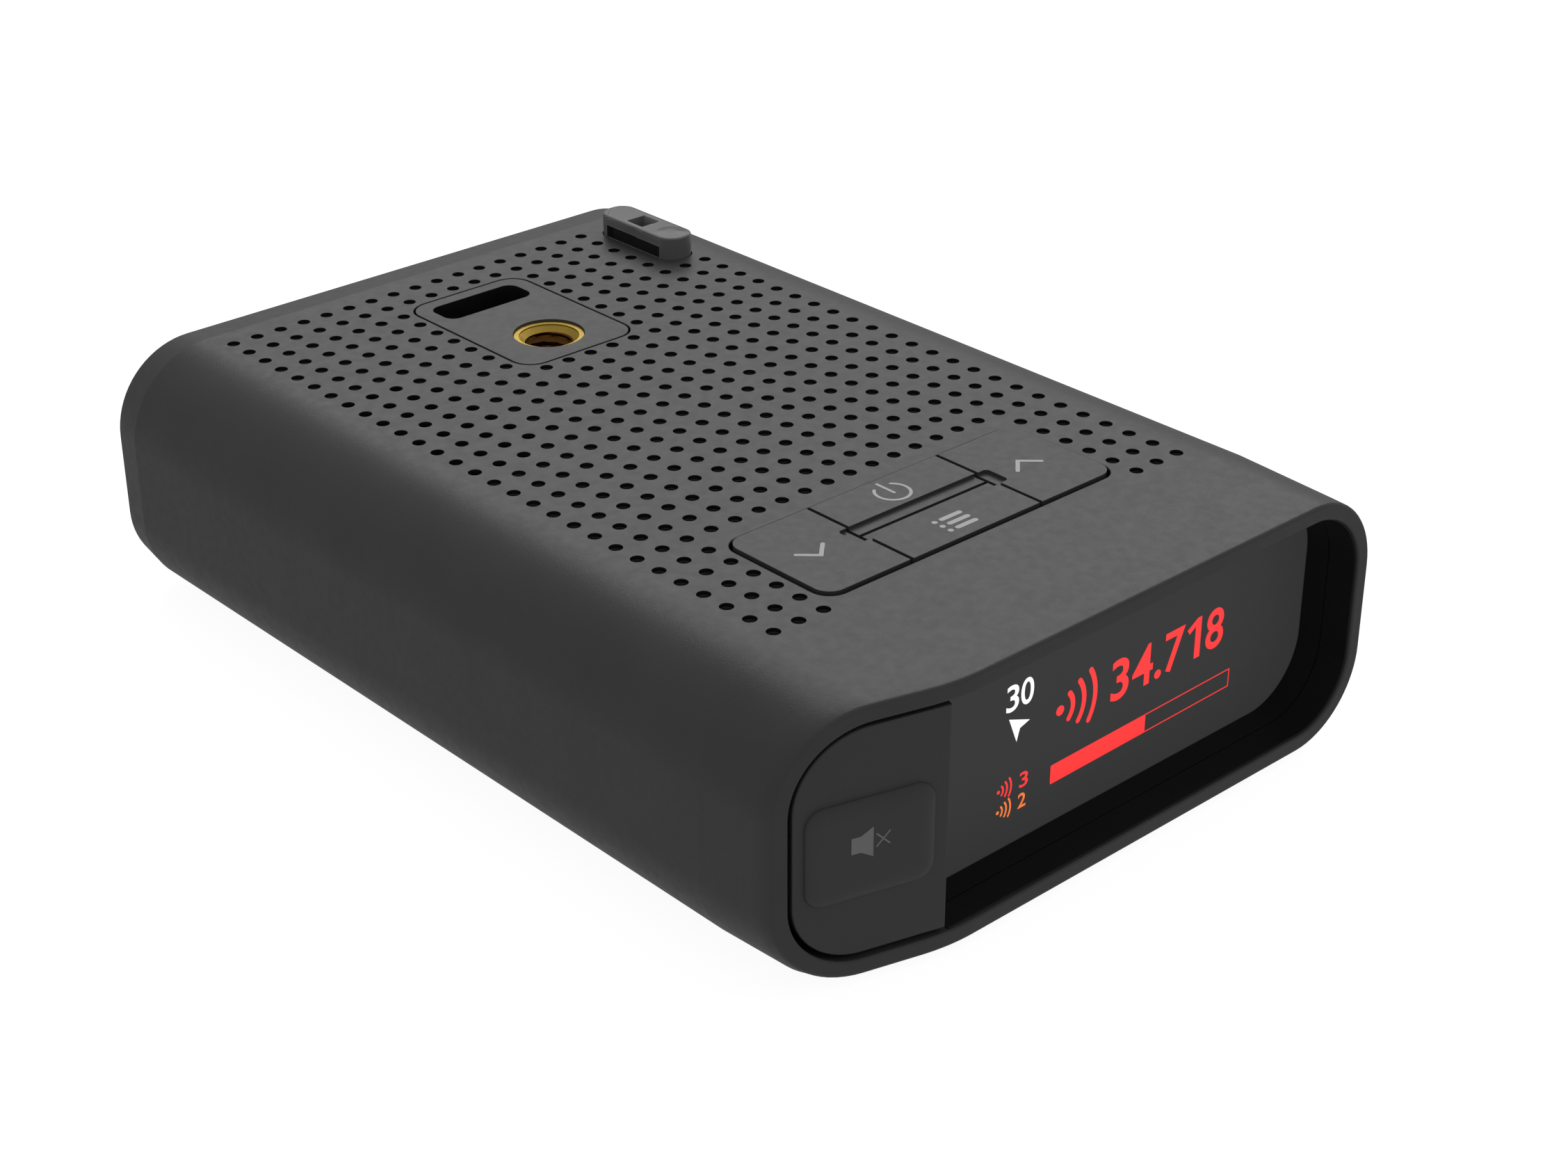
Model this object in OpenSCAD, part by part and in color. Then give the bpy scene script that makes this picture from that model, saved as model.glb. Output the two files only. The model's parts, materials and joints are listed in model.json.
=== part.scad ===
// Windshield radar detector, built as it comes apart on a bench.
// Frame: X to the right and Y toward the road as the driver sees it, +Z up,
// origin at the middle of the underside.

/* [Housing] */
// Width of the body
body_w = 79.6; // [76:0.2:84]
// Length of the body, display rim to road end
body_l = 114.2; // [112:0.2:120]
// Height of the body without the rear lens
body_h = 29.7; // [29:0.1:32]
// Radius of the two long top edges
top_r = 10.4; // [9:0.1:11]
// Radius of the two long bottom edges
bottom_r = 9.8; // [9:0.1:11]
// Thickness of the housing wall
wall = 2.4; // [2.2:0.1:2.6]
// How far the rim and the road end are drawn in
end_inset = 0.6; // [0.4:0.1:0.8]
// Length of the tapered stretch behind the rim
front_taper_l = 14; // [10:1:16]
// Length of the tapered stretch at the road end
rear_taper_l = 4.4; // [3:0.2:6]

/* [Swept corner] */
// Angle by which the rim sweeps back at the mute button
sweep_angle = 15.8; // [12:0.2:18]
// Where the sweep starts, left of the middle
sweep_x = 21.2; // [19:0.2:23]
// Half length of the blend between straight and swept rim
sweep_blend = 3; // [1:0.5:4]

/* [Top grille] */
// Pitch of the holes across the body
pitch_x = 3.1; // [3:0.05:3.2]
// Pitch of the holes along the body
pitch_y = 3.2; // [3.1:0.05:3.3]
// Diameter of a grille hole
hole_d = 1.42; // [1:0.02:1.8]
// Depth of the blind grille holes
dimple_depth = 0.5; // [0.3:0.1:1]

/* [Mount] */
// Width of the mount plate
mount_w = 15.6; // [14:0.2:17]
// Length of the mount plate
mount_l = 22.6; // [21:0.2:24]
// Width of the hook slot
slot_w = 11.9; // [11:0.1:12.5]
// Length of the hook slot along the body
slot_l = 4.5; // [4.4:0.1:5]
// Outside diameter of the brass insert
insert_d = 8.06; // [7.6:0.02:8.4]
// Minor diameter of the insert's thread
thread_d = 5.12; // [5:0.02:5.4]

/* [Keys] */
// Width of the keypad
pad_w = 40.4; // [38:0.2:42]
// Length of the keypad along the body
pad_l = 15.2; // [14:0.2:16]
// How far the keys stand above the top
key_raise = 0.25; // [0.2:0.05:0.4]
// Depth of the finger groove across the keys
groove_depth = 0.4; // [0.2:0.05:0.5]
// Gap between a key and its neighbours
key_gap = 0.25; // [0.2:0.05:0.35]

/* [Display] */
// Depth of the window behind the rim
window_depth = 6.55; // [6:0.05:7]
// Thickness of the tinted window
window_t = 1.5; // [1:0.1:1.8]

/* [Rear lens] */
// Width of the rear laser lens
lens_w = 4.4; // [4:0.1:4.6]
// Length of the rear laser lens
lens_l = 13.8; // [13:0.1:15]
// Height of the lens above the top
lens_h = 2.8; // [2:0.1:3.5]

/* [Hidden] */

$fn = 64;
EPS = 0.01;
half_w = body_w / 2;
front_y = -body_l / 2;
rear_y = body_l / 2;
charcoal = [0.23, 0.23, 0.235];
key_grey = [0.25, 0.25, 0.255];
board_green = [0.05, 0.28, 0.16];
steel = [0.72, 0.73, 0.75];
black = [0.06, 0.06, 0.065];
gold = [0.83, 0.66, 0.3];

// Grille: columns and rows, and the first row's place
cols = 19;
rows = 29;
row0_y = 49.5;
speaker_cols = 4;
speaker_col = 1;
speaker_row = 10.5;
speaker_reach = 3.95;

// Levels of the stack
ceiling_z = body_h - wall;
board_z = 10;
board_t = 1.6;
board_top = board_z + board_t;

// Mount
mount_y = 33.3;
slot_y = 40.75;
insert_y = 28.2;
slot_r = 1.4;
insert_top = body_h - 0.3;
insert_len = 8.8;
block_floor_z = 20.9;
bracket_x = 12.8;
bracket_y = [29.5, 43.5];
bracket_y0 = 22.5;
bracket_y1 = 46.5;
bracket_t = 1;

// Keypad
pad_y = -31.54;
pad_r = 2.2;
divider_x = 8.96;
groove_w = 20.6;
groove_l = 3.15;
key_floor_z = 26;
keypad_z = 23.1;
keypad_x = 23.6;

// Front
window_y = front_y + window_depth;
bezel_y = front_y + 3.65;
window_x0 = -23.6;
seat_l = 7.2;
liner_x0 = -sweep_x + 0.1;

// Rear lens
lens_x = 26.3;
lens_y = 42.4;

// Cover
cover_half_w = 33.3;
cover_y0 = -45;
cover_y1 = 52;
cover_gap = 0.15;
boss_x = 30.3;
boss_y = [-41.3, 48];
boss_z = 3.25;
boss_top_z = 9.4;

// Speaker
speaker_x = -20;
speaker_y = 15.5;
speaker_d = 21.2;
speaker_z = 17.3;
cone_z = 23.3;
gasket_z = 25.6;

// Jack and port on the right side
jack_y = -6;
jack_z = 16.4;
port_y = -22;
port_z = 13.3;

// Cover and board fixings
post_x = 29;
post_y = [-34, 16];

// ---------------------------------------------------------------- helpers

// Rectangle with its corners rounded, from (x0, y0) to (x1, y1)
module round_rect(x0, y0, x1, y1, r) {
    for (x = [x0 + r, x1 - r], y = [y0 + r, y1 - r])
        translate([x, y]) circle(r);
    translate([x0 + r, y0]) square([x1 - x0 - 2 * r, y1 - y0]);
    translate([x0, y0 + r]) square([x1 - x0, y1 - y0 - 2 * r]);
}

// The body's cross section, drawn in by d on every side
module body_section(d = 0) {
    w = half_w - d;
    rt = top_r - d;
    rb = bottom_r - d;
    for (s = [-1, 1]) {
        translate([s * (w - rt), body_h - d - rt]) circle(rt);
        translate([s * (w - rb), d + rb]) circle(rb);
    }
    translate([-(w - rt), body_h / 2]) square([2 * (w - rt), body_h / 2 - d]);
    translate([-(w - rb), d]) square([2 * (w - rb), body_h / 2]);
    translate([-w, d + rb]) square([2 * w, body_h - 2 * d - rt - rb]);
}

// Stands a section up and extrudes it from y0 to y1
module along_y(y0, y1) {
    translate([0, y1, 0]) rotate([90, 0, 0]) linear_extrude(y1 - y0) children();
}

module slab(x0, y0, z0, x1, y1, z1) {
    translate([x0, y0, z0]) cube([x1 - x0, y1 - y0, z1 - z0]);
}

// Depth of the swept rim behind the straight one, u to the left of the sweep's corner
function sweep_depth(u) =
    u < -sweep_blend ? 0
    : u > sweep_blend ? u * tan(sweep_angle)
    : pow(u + sweep_blend, 2) / (4 * sweep_blend) * tan(sweep_angle);

// Everything in front of the swept rim, pushed back by d
module before_rim(d = 0) {
    us = concat([for (k = [-1 : 0.2 : 1]) k * sweep_blend], [32]);
    translate([0, 0, -1]) linear_extrude(body_h + 2)
        polygon(concat(
            [[-sweep_x - 32, front_y - 10], [half_w + 10, front_y - 10], [half_w + 10, front_y + d]],
            [for (u = us) [-sweep_x - u, front_y + d + sweep_depth(u)]]));
}

// The mute button's own frame: x along the swept face, y into the body
module swept_frame() {
    translate([-sweep_x, front_y, 0]) rotate([0, 0, -sweep_angle]) children();
}

// Pan head screw with its head on +Z and its shank downwards
module screw(head_d, head_h, shank_d, shank_l) {
    difference() {
        union() {
            cylinder(d = head_d, h = head_h);
            translate([0, 0, -shank_l]) cylinder(d = shank_d, h = shank_l + EPS);
        }
        translate([0, 0, head_h * 0.45]) cylinder(d = head_d * 0.42, h = head_h, $fn = 6);
    }
}

module tube(od, id, h) {
    difference() {
        cylinder(d = od, h = h);
        translate([0, 0, -1]) cylinder(d = id, h = h + 2);
    }
}

// True where a grille position falls under the mount plate, the keypad or the rear lens
function covered(i, j) =
    (i >= 7 && i <= 11 && j >= 2 && j <= 8)
    || (i >= 3 && i <= 15 && j >= 23)
    || (i >= 17 && j <= 4);

// True where a hole opens onto the speaker
function over_speaker(i, j) =
    i < speaker_cols
    && norm([i - speaker_col, (j - speaker_row) * pitch_y / pitch_x]) < speaker_reach;

// Holes of the grille: through holes over the speaker, blind ones elsewhere
module grille(through) {
    for (i = [0 : cols - 1], j = [0 : rows - 1])
        if (!covered(i, j) && over_speaker(i, j) == through)
            translate([(i - (cols - 1) / 2) * pitch_x, row0_y - j * pitch_y])
                circle(d = hole_d, $fn = 16);
}

// ---------------------------------------------------------------- housing

module housing_body() {
    y_front = front_y + front_taper_l;
    y_rear = rear_y - rear_taper_l;
    along_y(y_front, y_rear) body_section();
    hull() {
        along_y(y_front, y_front + EPS) body_section($fn = 48);
        along_y(front_y, front_y + EPS) body_section(end_inset, $fn = 48);
    }
    hull() {
        along_y(y_rear - EPS, y_rear) body_section($fn = 48);
        along_y(rear_y - EPS, rear_y) body_section(end_inset, $fn = 48);
    }
}

module cover_opening(g) {
    slab(-cover_half_w - g, cover_y0 - g, -1, cover_half_w + g, cover_y1 + g, 4);
}

// Boss under the ceiling
module ceiling_boss(x, y, z, d, pilot) {
    translate([x, y, z]) difference() {
        cylinder(d = d, h = ceiling_z + 0.4 - z);
        translate([0, 0, -1]) cylinder(d = pilot, h = 5);
    }
}

module upper_housing() {
    color(charcoal) {
        difference() {
            housing_body();
            along_y(front_y - 1, rear_y + 1) body_section(wall);
            right_of(window_x0 - 0.1, bezel_y, bezel_y + seat_l, wall - 0.9);
            before_rim();
            cover_opening(cover_gap);
            translate([0, 0, ceiling_z - 1]) linear_extrude(wall + 2) {
                round_rect(-pad_w / 2, pad_y - pad_l / 2, pad_w / 2, pad_y + pad_l / 2, pad_r);
                round_rect(-mount_w / 2 - 0.1, mount_y - mount_l / 2 - 0.1,
                           mount_w / 2 + 0.1, mount_y + mount_l / 2 + 0.1, 2.6);
                lens_outline(0.1, 2);
                grille(true);
            }
            translate([0, 0, body_h - dimple_depth]) linear_extrude(2) grille(false);
            slab(half_w - 6, jack_y - 5.1, jack_z - 3.9, half_w + 1, jack_y + 5.1, jack_z + 3.9);
            slab(half_w - 6, port_y - 4.1, port_z - 1.7, half_w + 1, port_y + 4.1, port_z + 1.7);
        }
        for (s = [-1, 1], y = boss_y)
            difference() {
                union() {
                    translate([s * boss_x, y, boss_z]) cylinder(d = 6, h = boss_top_z - boss_z);
                    translate([s * (boss_x + 4.7) - 3, y - 1.2, 6.5]) cube([6, 2.4, boss_top_z - 6.5]);
                }
                translate([s * boss_x, y, 1]) cylinder(d = 1.7, h = boss_top_z - 1.6);
            }
        for (s = [-1, 1], y = bracket_y) ceiling_boss(s * bracket_x, y, block_floor_z, 4.6, 1.6);
        for (s = [-1, 1]) ceiling_boss(s * keypad_x, pad_y, keypad_z, 4, 1.6);
    }
}

module bottom_cover() {
    color(charcoal) difference() {
        union() {
            intersection() {
                difference() {
                    along_y(cover_y0, cover_y1) body_section();
                    along_y(cover_y0 - 1, cover_y1 + 1) body_section(wall);
                }
                cover_opening(0);
            }
            for (s = [-1, 1], y = post_y)
                translate([s * post_x, y, wall - 0.2]) cylinder(d = 5, h = board_z - wall + 0.2);
            for (s = [-1, 1], y = boss_y)
                translate([s * boss_x, y, wall - 0.5]) cylinder(d = 6, h = boss_z - wall + 0.5);
            for (y = [-20, 0, 32]) slab(-24, y - 0.6, wall - 0.2, 24, y + 0.6, wall + 1.2);
        }
        for (s = [-1, 1], y = post_y)
            translate([s * post_x, y, wall + 1]) cylinder(d = 1.7, h = board_z);
        for (s = [-1, 1], y = boss_y)
            translate([s * boss_x, y, -1]) {
                cylinder(d = 2.5, h = 6);
                cylinder(d = 4.8, h = 2.3);
            }
        slab(-15.1, -10.1, -1, 15.1, 6.1, 0.2);
        for (x = [-10 : 4 : 10]) slab(x - 0.6, 20, -1, x + 0.6, 30, wall + 1);
    }
}

module cover_screws() {
    color(black)
        for (s = [-1, 1], y = boss_y)
            translate([s * boss_x, y, 1.3]) mirror([0, 0, 1]) screw(4.4, 1.1, 1.7, 6.5);
}

module rating_label() {
    color([0.75, 0.75, 0.76]) slab(-15, -10, 0.04, 15, 6, 0.2);
}

module road_window() {
    y0 = 54.2;
    color([0.04, 0.03, 0.045]) {
        along_y(y0, y0 + 2) body_section(wall + cover_gap);
        difference() {
            along_y(51.6, y0 + EPS) body_section(wall + cover_gap);
            along_y(51, y0 + 1) body_section(wall + cover_gap + 1.2);
        }
    }
}

// ---------------------------------------------------------------- display

// The part of a section to the right of x0
module right_of(x0, y0, y1, d) {
    intersection() {
        along_y(y0, y1) body_section(d);
        slab(x0, y0 - 1, -1, half_w + 1, y1 + 1, body_h + 1);
    }
}

module display_bezel() {
    y0 = bezel_y + 0.05;
    y1 = window_y - 0.05;
    color(black) difference() {
        right_of(liner_x0, y0, y1, wall - 0.85);
        along_y(y0 - 1, y1 + 1) body_section(wall);
    }
}

module display_window() {
    color([0.1, 0.1, 0.11]) right_of(window_x0, window_y, window_y + window_t, wall - 0.8);
}

panel_x0 = -18;
panel_x1 = 33;
panel_z0 = 5.5;
panel_z1 = 24;
frame_y = window_y + window_t + 0.05;

module display_frame() {
    color([0.3, 0.3, 0.31]) difference() {
        right_of(window_x0, frame_y, frame_y + 2.6, wall - 0.75);
        slab(panel_x0 - 0.1, frame_y - 1, panel_z0 - 0.1, panel_x1 + 0.1, frame_y + 4, panel_z1 + 0.1);
    }
}

module display_panel() {
    color([0.03, 0.03, 0.04])
        slab(panel_x0, frame_y, panel_z0, panel_x1, frame_y + 1.8, panel_z1);
}

board2_y = frame_y + 2.7;

module display_board() {
    color(board_green) difference() {
        slab(-20, board2_y, 5, 33, board2_y + 1.2, 24);
        for (x = [-18.4, 31.4], z = [6.6, 22.4])
            translate([x, board2_y - 1, z]) rotate([-90, 0, 0]) cylinder(d = 1.8, h = 4);
    }
}

module display_ribbon() {
    y0 = board2_y + 1.25;
    color([0.75, 0.5, 0.15]) {
        slab(2, y0, board_top + 0.7, 14, y0 + 0.25, board_top + 6);
        slab(2, y0, board_top + 0.45, 14, -35, board_top + 0.7);
    }
}

// ---------------------------------------------------------------- mute button

plate_rec = 0.3;
plate_t = 1.6;
plate_gap = 0.4;
mute_raise = 0.8;

module mute_button() {
    color(charcoal) {
        intersection() {
            along_y(front_y - 2, front_y + 16) body_section(wall + plate_gap);
            union() {
                swept_frame() slab(-22, plate_rec, 0, -0.2, plate_rec + plate_t, body_h);
                difference() {
                    slab(-sweep_x - 1.2, front_y - 1, 0, -sweep_x - 0.2, window_y - 0.85, body_h);
                    swept_frame() slab(-4, -9, -1, 4, plate_rec + 0.3, body_h + 1);
                }
            }
        }
        swept_frame() translate([0, plate_rec + EPS, 0]) rotate([90, 0, 0]) linear_extrude(mute_raise)
            round_rect(-15.3, 9.2, -2, 19.7, 2);
        swept_frame() slab(-11.5, plate_rec + plate_t - EPS, 13, -8.5, 3.4, 16);
    }
}

module mute_dome() {
    color([0.7, 0.7, 0.68]) swept_frame() {
        difference() {
            slab(-13, 5.3, 11.5, -7, 5.95, 17.5);
            slab(-12.35, 5, 12.15, -7.65, 6, 16.85);
        }
        difference() {
            slab(-13, 4.1, 11.5, -7, 5.3, 17.5);
            slab(-12.35, 4.6, 12.15, -7.65, 6, 16.85);
        }
    }
}

module mute_switch() {
    color(steel) swept_frame() {
        slab(-12, 5, 12.5, -8, 5.95, 16.5);
        translate([-10, 5.05, 14.5]) rotate([90, 0, 0]) cylinder(d = 1.6, h = 0.35);
    }
}

module mute_board() {
    color(board_green) swept_frame() slab(-14.6, 5.95, 5.5, -5.4, 7.15, 24);
}

module mute_bracket() {
    color([0.3, 0.3, 0.31]) swept_frame() {
        slab(-14.6, 7.15, 5.5, -5.4, 8.4, 24);
        slab(-10.5, 8.4 - EPS, wall, -7.5, 10.4, ceiling_z);
    }
}

// ---------------------------------------------------------------- mount

module mount_block() {
    color(key_grey) difference() {
        union() {
            translate([0, 0, ceiling_z - 0.15]) linear_extrude(wall + 0.15)
                round_rect(-mount_w / 2, mount_y - mount_l / 2, mount_w / 2, mount_y + mount_l / 2, 2.5);
            translate([0, 0, ceiling_z - 1.6]) linear_extrude(1.5)
                round_rect(-10, mount_y - 13.5, 10, mount_y + 13.5, 2.5);
            translate([0, insert_y, block_floor_z]) cylinder(d = 12.4, h = 5);
            slab(-slot_w / 2 - 1.2, slot_y - slot_l / 2 - 1.2, block_floor_z,
                 slot_w / 2 + 1.2, slot_y + slot_l / 2 + 1.2, ceiling_z - 1);
        }
        translate([0, 0, block_floor_z + 1]) linear_extrude(10)
            round_rect(-slot_w / 2, slot_y - slot_l / 2, slot_w / 2, slot_y + slot_l / 2, slot_r);
        translate([0, insert_y, block_floor_z - 1]) cylinder(d = insert_d + 0.02, h = 12);
    }
}

module mount_insert() {
    z0 = insert_top - insert_len + 0.3;
    color([0.85, 0.68, 0.25]) translate([0, insert_y, 0]) difference() {
        translate([0, 0, block_floor_z]) cylinder(d = insert_d, h = insert_top - block_floor_z);
        translate([0, 0, z0 - 1]) cylinder(d = thread_d, h = insert_len + 4);
        translate([0, 0, insert_top - 0.6]) cylinder(d1 = thread_d, d2 = thread_d + 1.4, h = 0.7);
    }
}

module mount_bracket() {
    color(steel) difference() {
        translate([0, 0, block_floor_z - bracket_t]) linear_extrude(bracket_t)
            round_rect(-15.5, bracket_y0, 15.5, bracket_y1, 2);
        translate([0, insert_y, 0]) cylinder(d = 7, h = 30);
        for (s = [-1, 1], y = bracket_y)
            translate([s * bracket_x, y, 15]) cylinder(d = 2.4, h = 10);
    }
}

module mount_screws() {
    color(steel)
        for (s = [-1, 1], y = bracket_y)
            translate([s * bracket_x, y, block_floor_z - bracket_t]) mirror([0, 0, 1])
                screw(4, 1.2, 1.6, 4.4);
}

// ---------------------------------------------------------------- keypad

module pad_outline(d) {
    round_rect(-pad_w / 2 + d, pad_y - pad_l / 2 + d, pad_w / 2 - d, pad_y + pad_l / 2 - d, pad_r - d);
}

module finger_groove() {
    translate([0, 0, body_h + key_raise - groove_depth]) linear_extrude(2)
        round_rect(-groove_w / 2, pad_y - groove_l / 2, groove_w / 2, pad_y + groove_l / 2, 0.5);
}

// Cap of one key: the pad's outline between x0 and x1 and between y0 and y1
module key_cap(x0, x1, y0, y1) {
    g = key_gap / 2;
    color(key_grey) difference() {
        translate([0, 0, key_floor_z]) linear_extrude(body_h + key_raise - key_floor_z)
            intersection() {
                pad_outline(key_gap);
                translate([x0 + g, y0 + g]) square([x1 - x0 - 2 * g, y1 - y0 - 2 * g]);
            }
        finger_groove();
    }
}

module key_lip(x0, x1, y0, y1) {
    color(key_grey) slab(x0, y0, key_floor_z, x1, y1, key_floor_z + 1);
}

pad_y0 = pad_y - pad_l / 2;
pad_y1 = pad_y + pad_l / 2;

module power_key() {
    key_cap(-divider_x, divider_x, pad_y, pad_y1);
    key_lip(-divider_x + 1, divider_x - 1, pad_y1 - 1, pad_y1 + 0.6);
}

module menu_key() {
    key_cap(-divider_x, divider_x, pad_y0, pad_y);
    key_lip(-divider_x + 1, divider_x - 1, pad_y0 - 0.6, pad_y0 + 1);
}

module down_key() {
    key_cap(-pad_w / 2, -divider_x, pad_y0, pad_y1);
    key_lip(-pad_w / 2 - 0.6, -pad_w / 2 + 1, pad_y0 + 3, pad_y1 - 3);
}

module up_key() {
    mirror([1, 0, 0]) down_key();
}

module key_membrane() {
    color([0.7, 0.7, 0.68]) {
        slab(-21, pad_y0 - 0.3, 24.4, 21, pad_y1 + 0.3, 25);
        for (p = key_centres()) translate([p[0], p[1], 25 - EPS]) cylinder(d = 4, h = 0.35);
    }
}

function key_centres() = [
    [0, (pad_y + pad_y1) / 2], [0, (pad_y0 + pad_y) / 2],
    [-(divider_x + pad_w / 2) / 2, pad_y], [(divider_x + pad_w / 2) / 2, pad_y]
];

module key_switches() {
    color(steel)
        for (p = key_centres()) {
            translate([p[0] - 2.2, p[1] - 2.2, keypad_z]) cube([4.4, 4.4, 0.9]);
            translate([p[0], p[1], 23.9]) cylinder(d = 1.8, h = 0.4);
        }
}

module keypad_board() {
    color(board_green) difference() {
        slab(-25.8, pad_y0 - 0.8, keypad_z - 1.2, 25.8, pad_y1 + 0.8, keypad_z);
        for (s = [-1, 1]) translate([s * keypad_x, pad_y, 20]) cylinder(d = 2.2, h = 5);
    }
}

module keypad_screws() {
    color(steel)
        for (s = [-1, 1])
            translate([s * keypad_x, pad_y, keypad_z - 1.2]) mirror([0, 0, 1]) screw(4, 1.2, 1.6, 4.6);
}

// ---------------------------------------------------------------- rear lens

module lens_outline(d, r) {
    round_rect(lens_x - lens_w / 2 - d, lens_y - lens_l / 2 - d,
               lens_x + lens_w / 2 + d, lens_y + lens_l / 2 + d, r);
}

module rear_lens() {
    top_z = body_h + lens_h;
    color([0.3, 0.3, 0.32, 0.7]) difference() {
        union() {
            translate([0, 0, 25.7]) linear_extrude(top_z - 25.7)
                lens_outline(0, 1.9);
            slab(lens_x - lens_w / 2 - 0.7, lens_y - lens_l / 2 - 0.9, 25.7,
                 lens_x + lens_w / 2 + 0.7, lens_y + lens_l / 2 + 0.9, 27);
        }
        slab(lens_x - lens_w / 2 - 1, lens_y - 5.5, body_h - 0.2,
             lens_x - lens_w / 2 + 0.7, lens_y + 5.2, body_h + 1.4);
        slab(lens_x - 1.6, lens_y - 1, top_z - 1.6, lens_x + 1.2, lens_y + 1.9, top_z + 1);
    }
}

module rear_lens_seal() {
    color(black) difference() {
        slab(lens_x - lens_w / 2 - 0.7, lens_y - lens_l / 2 - 0.9, 27,
             lens_x + lens_w / 2 + 0.7, lens_y + lens_l / 2 + 0.9, ceiling_z);
        slab(lens_x - lens_w / 2 - 0.05, lens_y - lens_l / 2 - 0.05, 26,
             lens_x + lens_w / 2 + 0.05, lens_y + lens_l / 2 + 0.05, 28);
    }
}

module rear_sensor_board() {
    color(board_green) slab(lens_x - 2.8, lens_y - 7.6, 22.6, lens_x + 2.8, lens_y + 7.6, 23.6);
}

module rear_sensor() {
    color([0.15, 0.1, 0.18]) slab(lens_x - 2, lens_y - 3, 23.6, lens_x + 2, lens_y + 3, 25.7);
}

// ---------------------------------------------------------------- main board

module main_board() {
    color(board_green) difference() {
        slab(-36, -38, board_z, 36, 20, board_top);
        for (s = [-1, 1], y = post_y)
            translate([s * post_x, y, board_z - 1]) cylinder(d = 2.3, h = 4);
    }
}

module board_screws() {
    color(steel)
        for (s = [-1, 1], y = post_y)
            translate([s * post_x, y, board_top]) screw(4, 1.3, 1.7, 6);
}

module processor() {
    color(black) slab(-12, -16, board_top, 2, -2, board_top + 1.4);
}

module memory_chips() {
    color(black) {
        slab(6, -14, board_top, 14, -8, board_top + 1);
        slab(6, -5, board_top, 14, 1, board_top + 1);
    }
}

module shield_can() {
    color(steel) difference() {
        slab(-4, 3, board_top, 18, 17, board_top + 3.2);
        slab(-3.7, 3.3, board_top - 1, 17.7, 16.7, board_top + 2.9);
    }
}

module capacitors() {
    color([0.2, 0.2, 0.24])
        for (x = [-22.8, -14.8]) translate([x, -32, board_top]) cylinder(d = 6.3, h = 7.7);
}

module inductor() {
    color([0.18, 0.18, 0.18]) slab(17, -35, board_top, 24, -28, board_top + 4);
}

module satellite_antenna() {
    color([0.72, 0.66, 0.52]) {
        slab(-27, -25, board_top, -15, -13, board_top + 4);
        translate([-21, -19, board_top + 4 - EPS]) cylinder(d = 1.4, h = 0.4);
    }
}

module cell_clip() {
    color(steel) difference() {
        slab(-29, -11, board_top, -16, 2, board_top + 3.6);
        slab(-28.7, -12, board_top + 0.3, -16.3, 3, board_top + 3.3);
    }
}

module backup_cell() {
    color(steel) translate([-22.5, -4.5, board_top + 0.4]) cylinder(d = 12, h = 2.6);
}

// ---------------------------------------------------------------- speaker

module at_speaker(z) {
    translate([speaker_x, speaker_y, z]) children();
}

module speaker_frame() {
    basket_h = cone_z - speaker_z + 0.4;
    color(black) at_speaker(speaker_z) difference() {
        union() {
            cylinder(d1 = 13, d2 = speaker_d - 1.6, h = basket_h);
            translate([0, 0, basket_h - EPS]) cylinder(d = speaker_d, h = gasket_z - speaker_z - basket_h);
        }
        translate([0, 0, 0.8]) cylinder(d1 = 10.8, d2 = speaker_d - 3.6, h = basket_h - 0.7);
        translate([0, 0, basket_h]) cylinder(d = speaker_d - 3.2, h = 3);
        translate([0, 0, -1]) cylinder(d = 7, h = 3);
    }
}

module speaker_cone() {
    rim_r = speaker_d / 2 - 1.85;
    color([0.12, 0.12, 0.12]) at_speaker(cone_z) rotate_extrude()
        polygon([[0, 0], [3, 0.3], [rim_r - 0.5, 2], [rim_r, 2],
                 [rim_r, 1.6], [rim_r - 0.6, 1.6], [3.1, -0.1], [0, -0.4]]);
}

module speaker_magnet() {
    magnet_h = 5.1;
    color(steel) at_speaker(speaker_z - magnet_h) {
        cylinder(d = 13, h = magnet_h);
        translate([0, 0, magnet_h - EPS]) cylinder(d = 6.4, h = 2.6);
    }
}

module speaker_gasket() {
    color(black) at_speaker(gasket_z) tube(speaker_d - 2.8, speaker_d - 4.6, ceiling_z - gasket_z);
}

// ---------------------------------------------------------------- radio and laser

horn_x = 9;
horn_z = 11.2;
radio_y = 22.3;

// A box wave guide that widens to the mouth, grown by t all round
module horn_shape(t, y0, y1) {
    hull() {
        translate([horn_x - 7 - t, y0, horn_z - 3 - t]) cube([14 + 2 * t, EPS, 6 + 2 * t]);
        translate([horn_x - 16 - t, y1 - EPS, horn_z - 6 - t + 0.3]) cube([32 + 2 * t, EPS, 12 + 2 * t]);
    }
}

module horn_antenna() {
    color([0.62, 0.63, 0.65]) {
        difference() {
            horn_shape(1.2, 25, 51);
            horn_shape(0, 26.2, 51.1);
            slab(horn_x - 6, 24, horn_z - 2, horn_x + 6, 27, horn_z + 2);
        }
        difference() {
            slab(horn_x - 12, radio_y + 1.2, horn_z - 6.5, horn_x + 12, 25.2, horn_z + 6.5);
            slab(horn_x - 6, 23, horn_z - 2, horn_x + 6, 27, horn_z + 2);
            for (s = [-1, 1]) translate([horn_x + s * 10.2, 20, horn_z + 4.4]) rotate([-90, 0, 0])
                cylinder(d = 1.7, h = 10);
        }
        slab(horn_x - 5, 42, wall, horn_x + 5, 49, horn_z - 6);
    }
}

module horn_screws() {
    color(steel)
        for (s = [-1, 1])
            translate([horn_x + s * 10.2, radio_y, horn_z + 4.4]) rotate([90, 0, 0])
                screw(3.4, 1.1, 1.6, 2.8);
}

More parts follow.
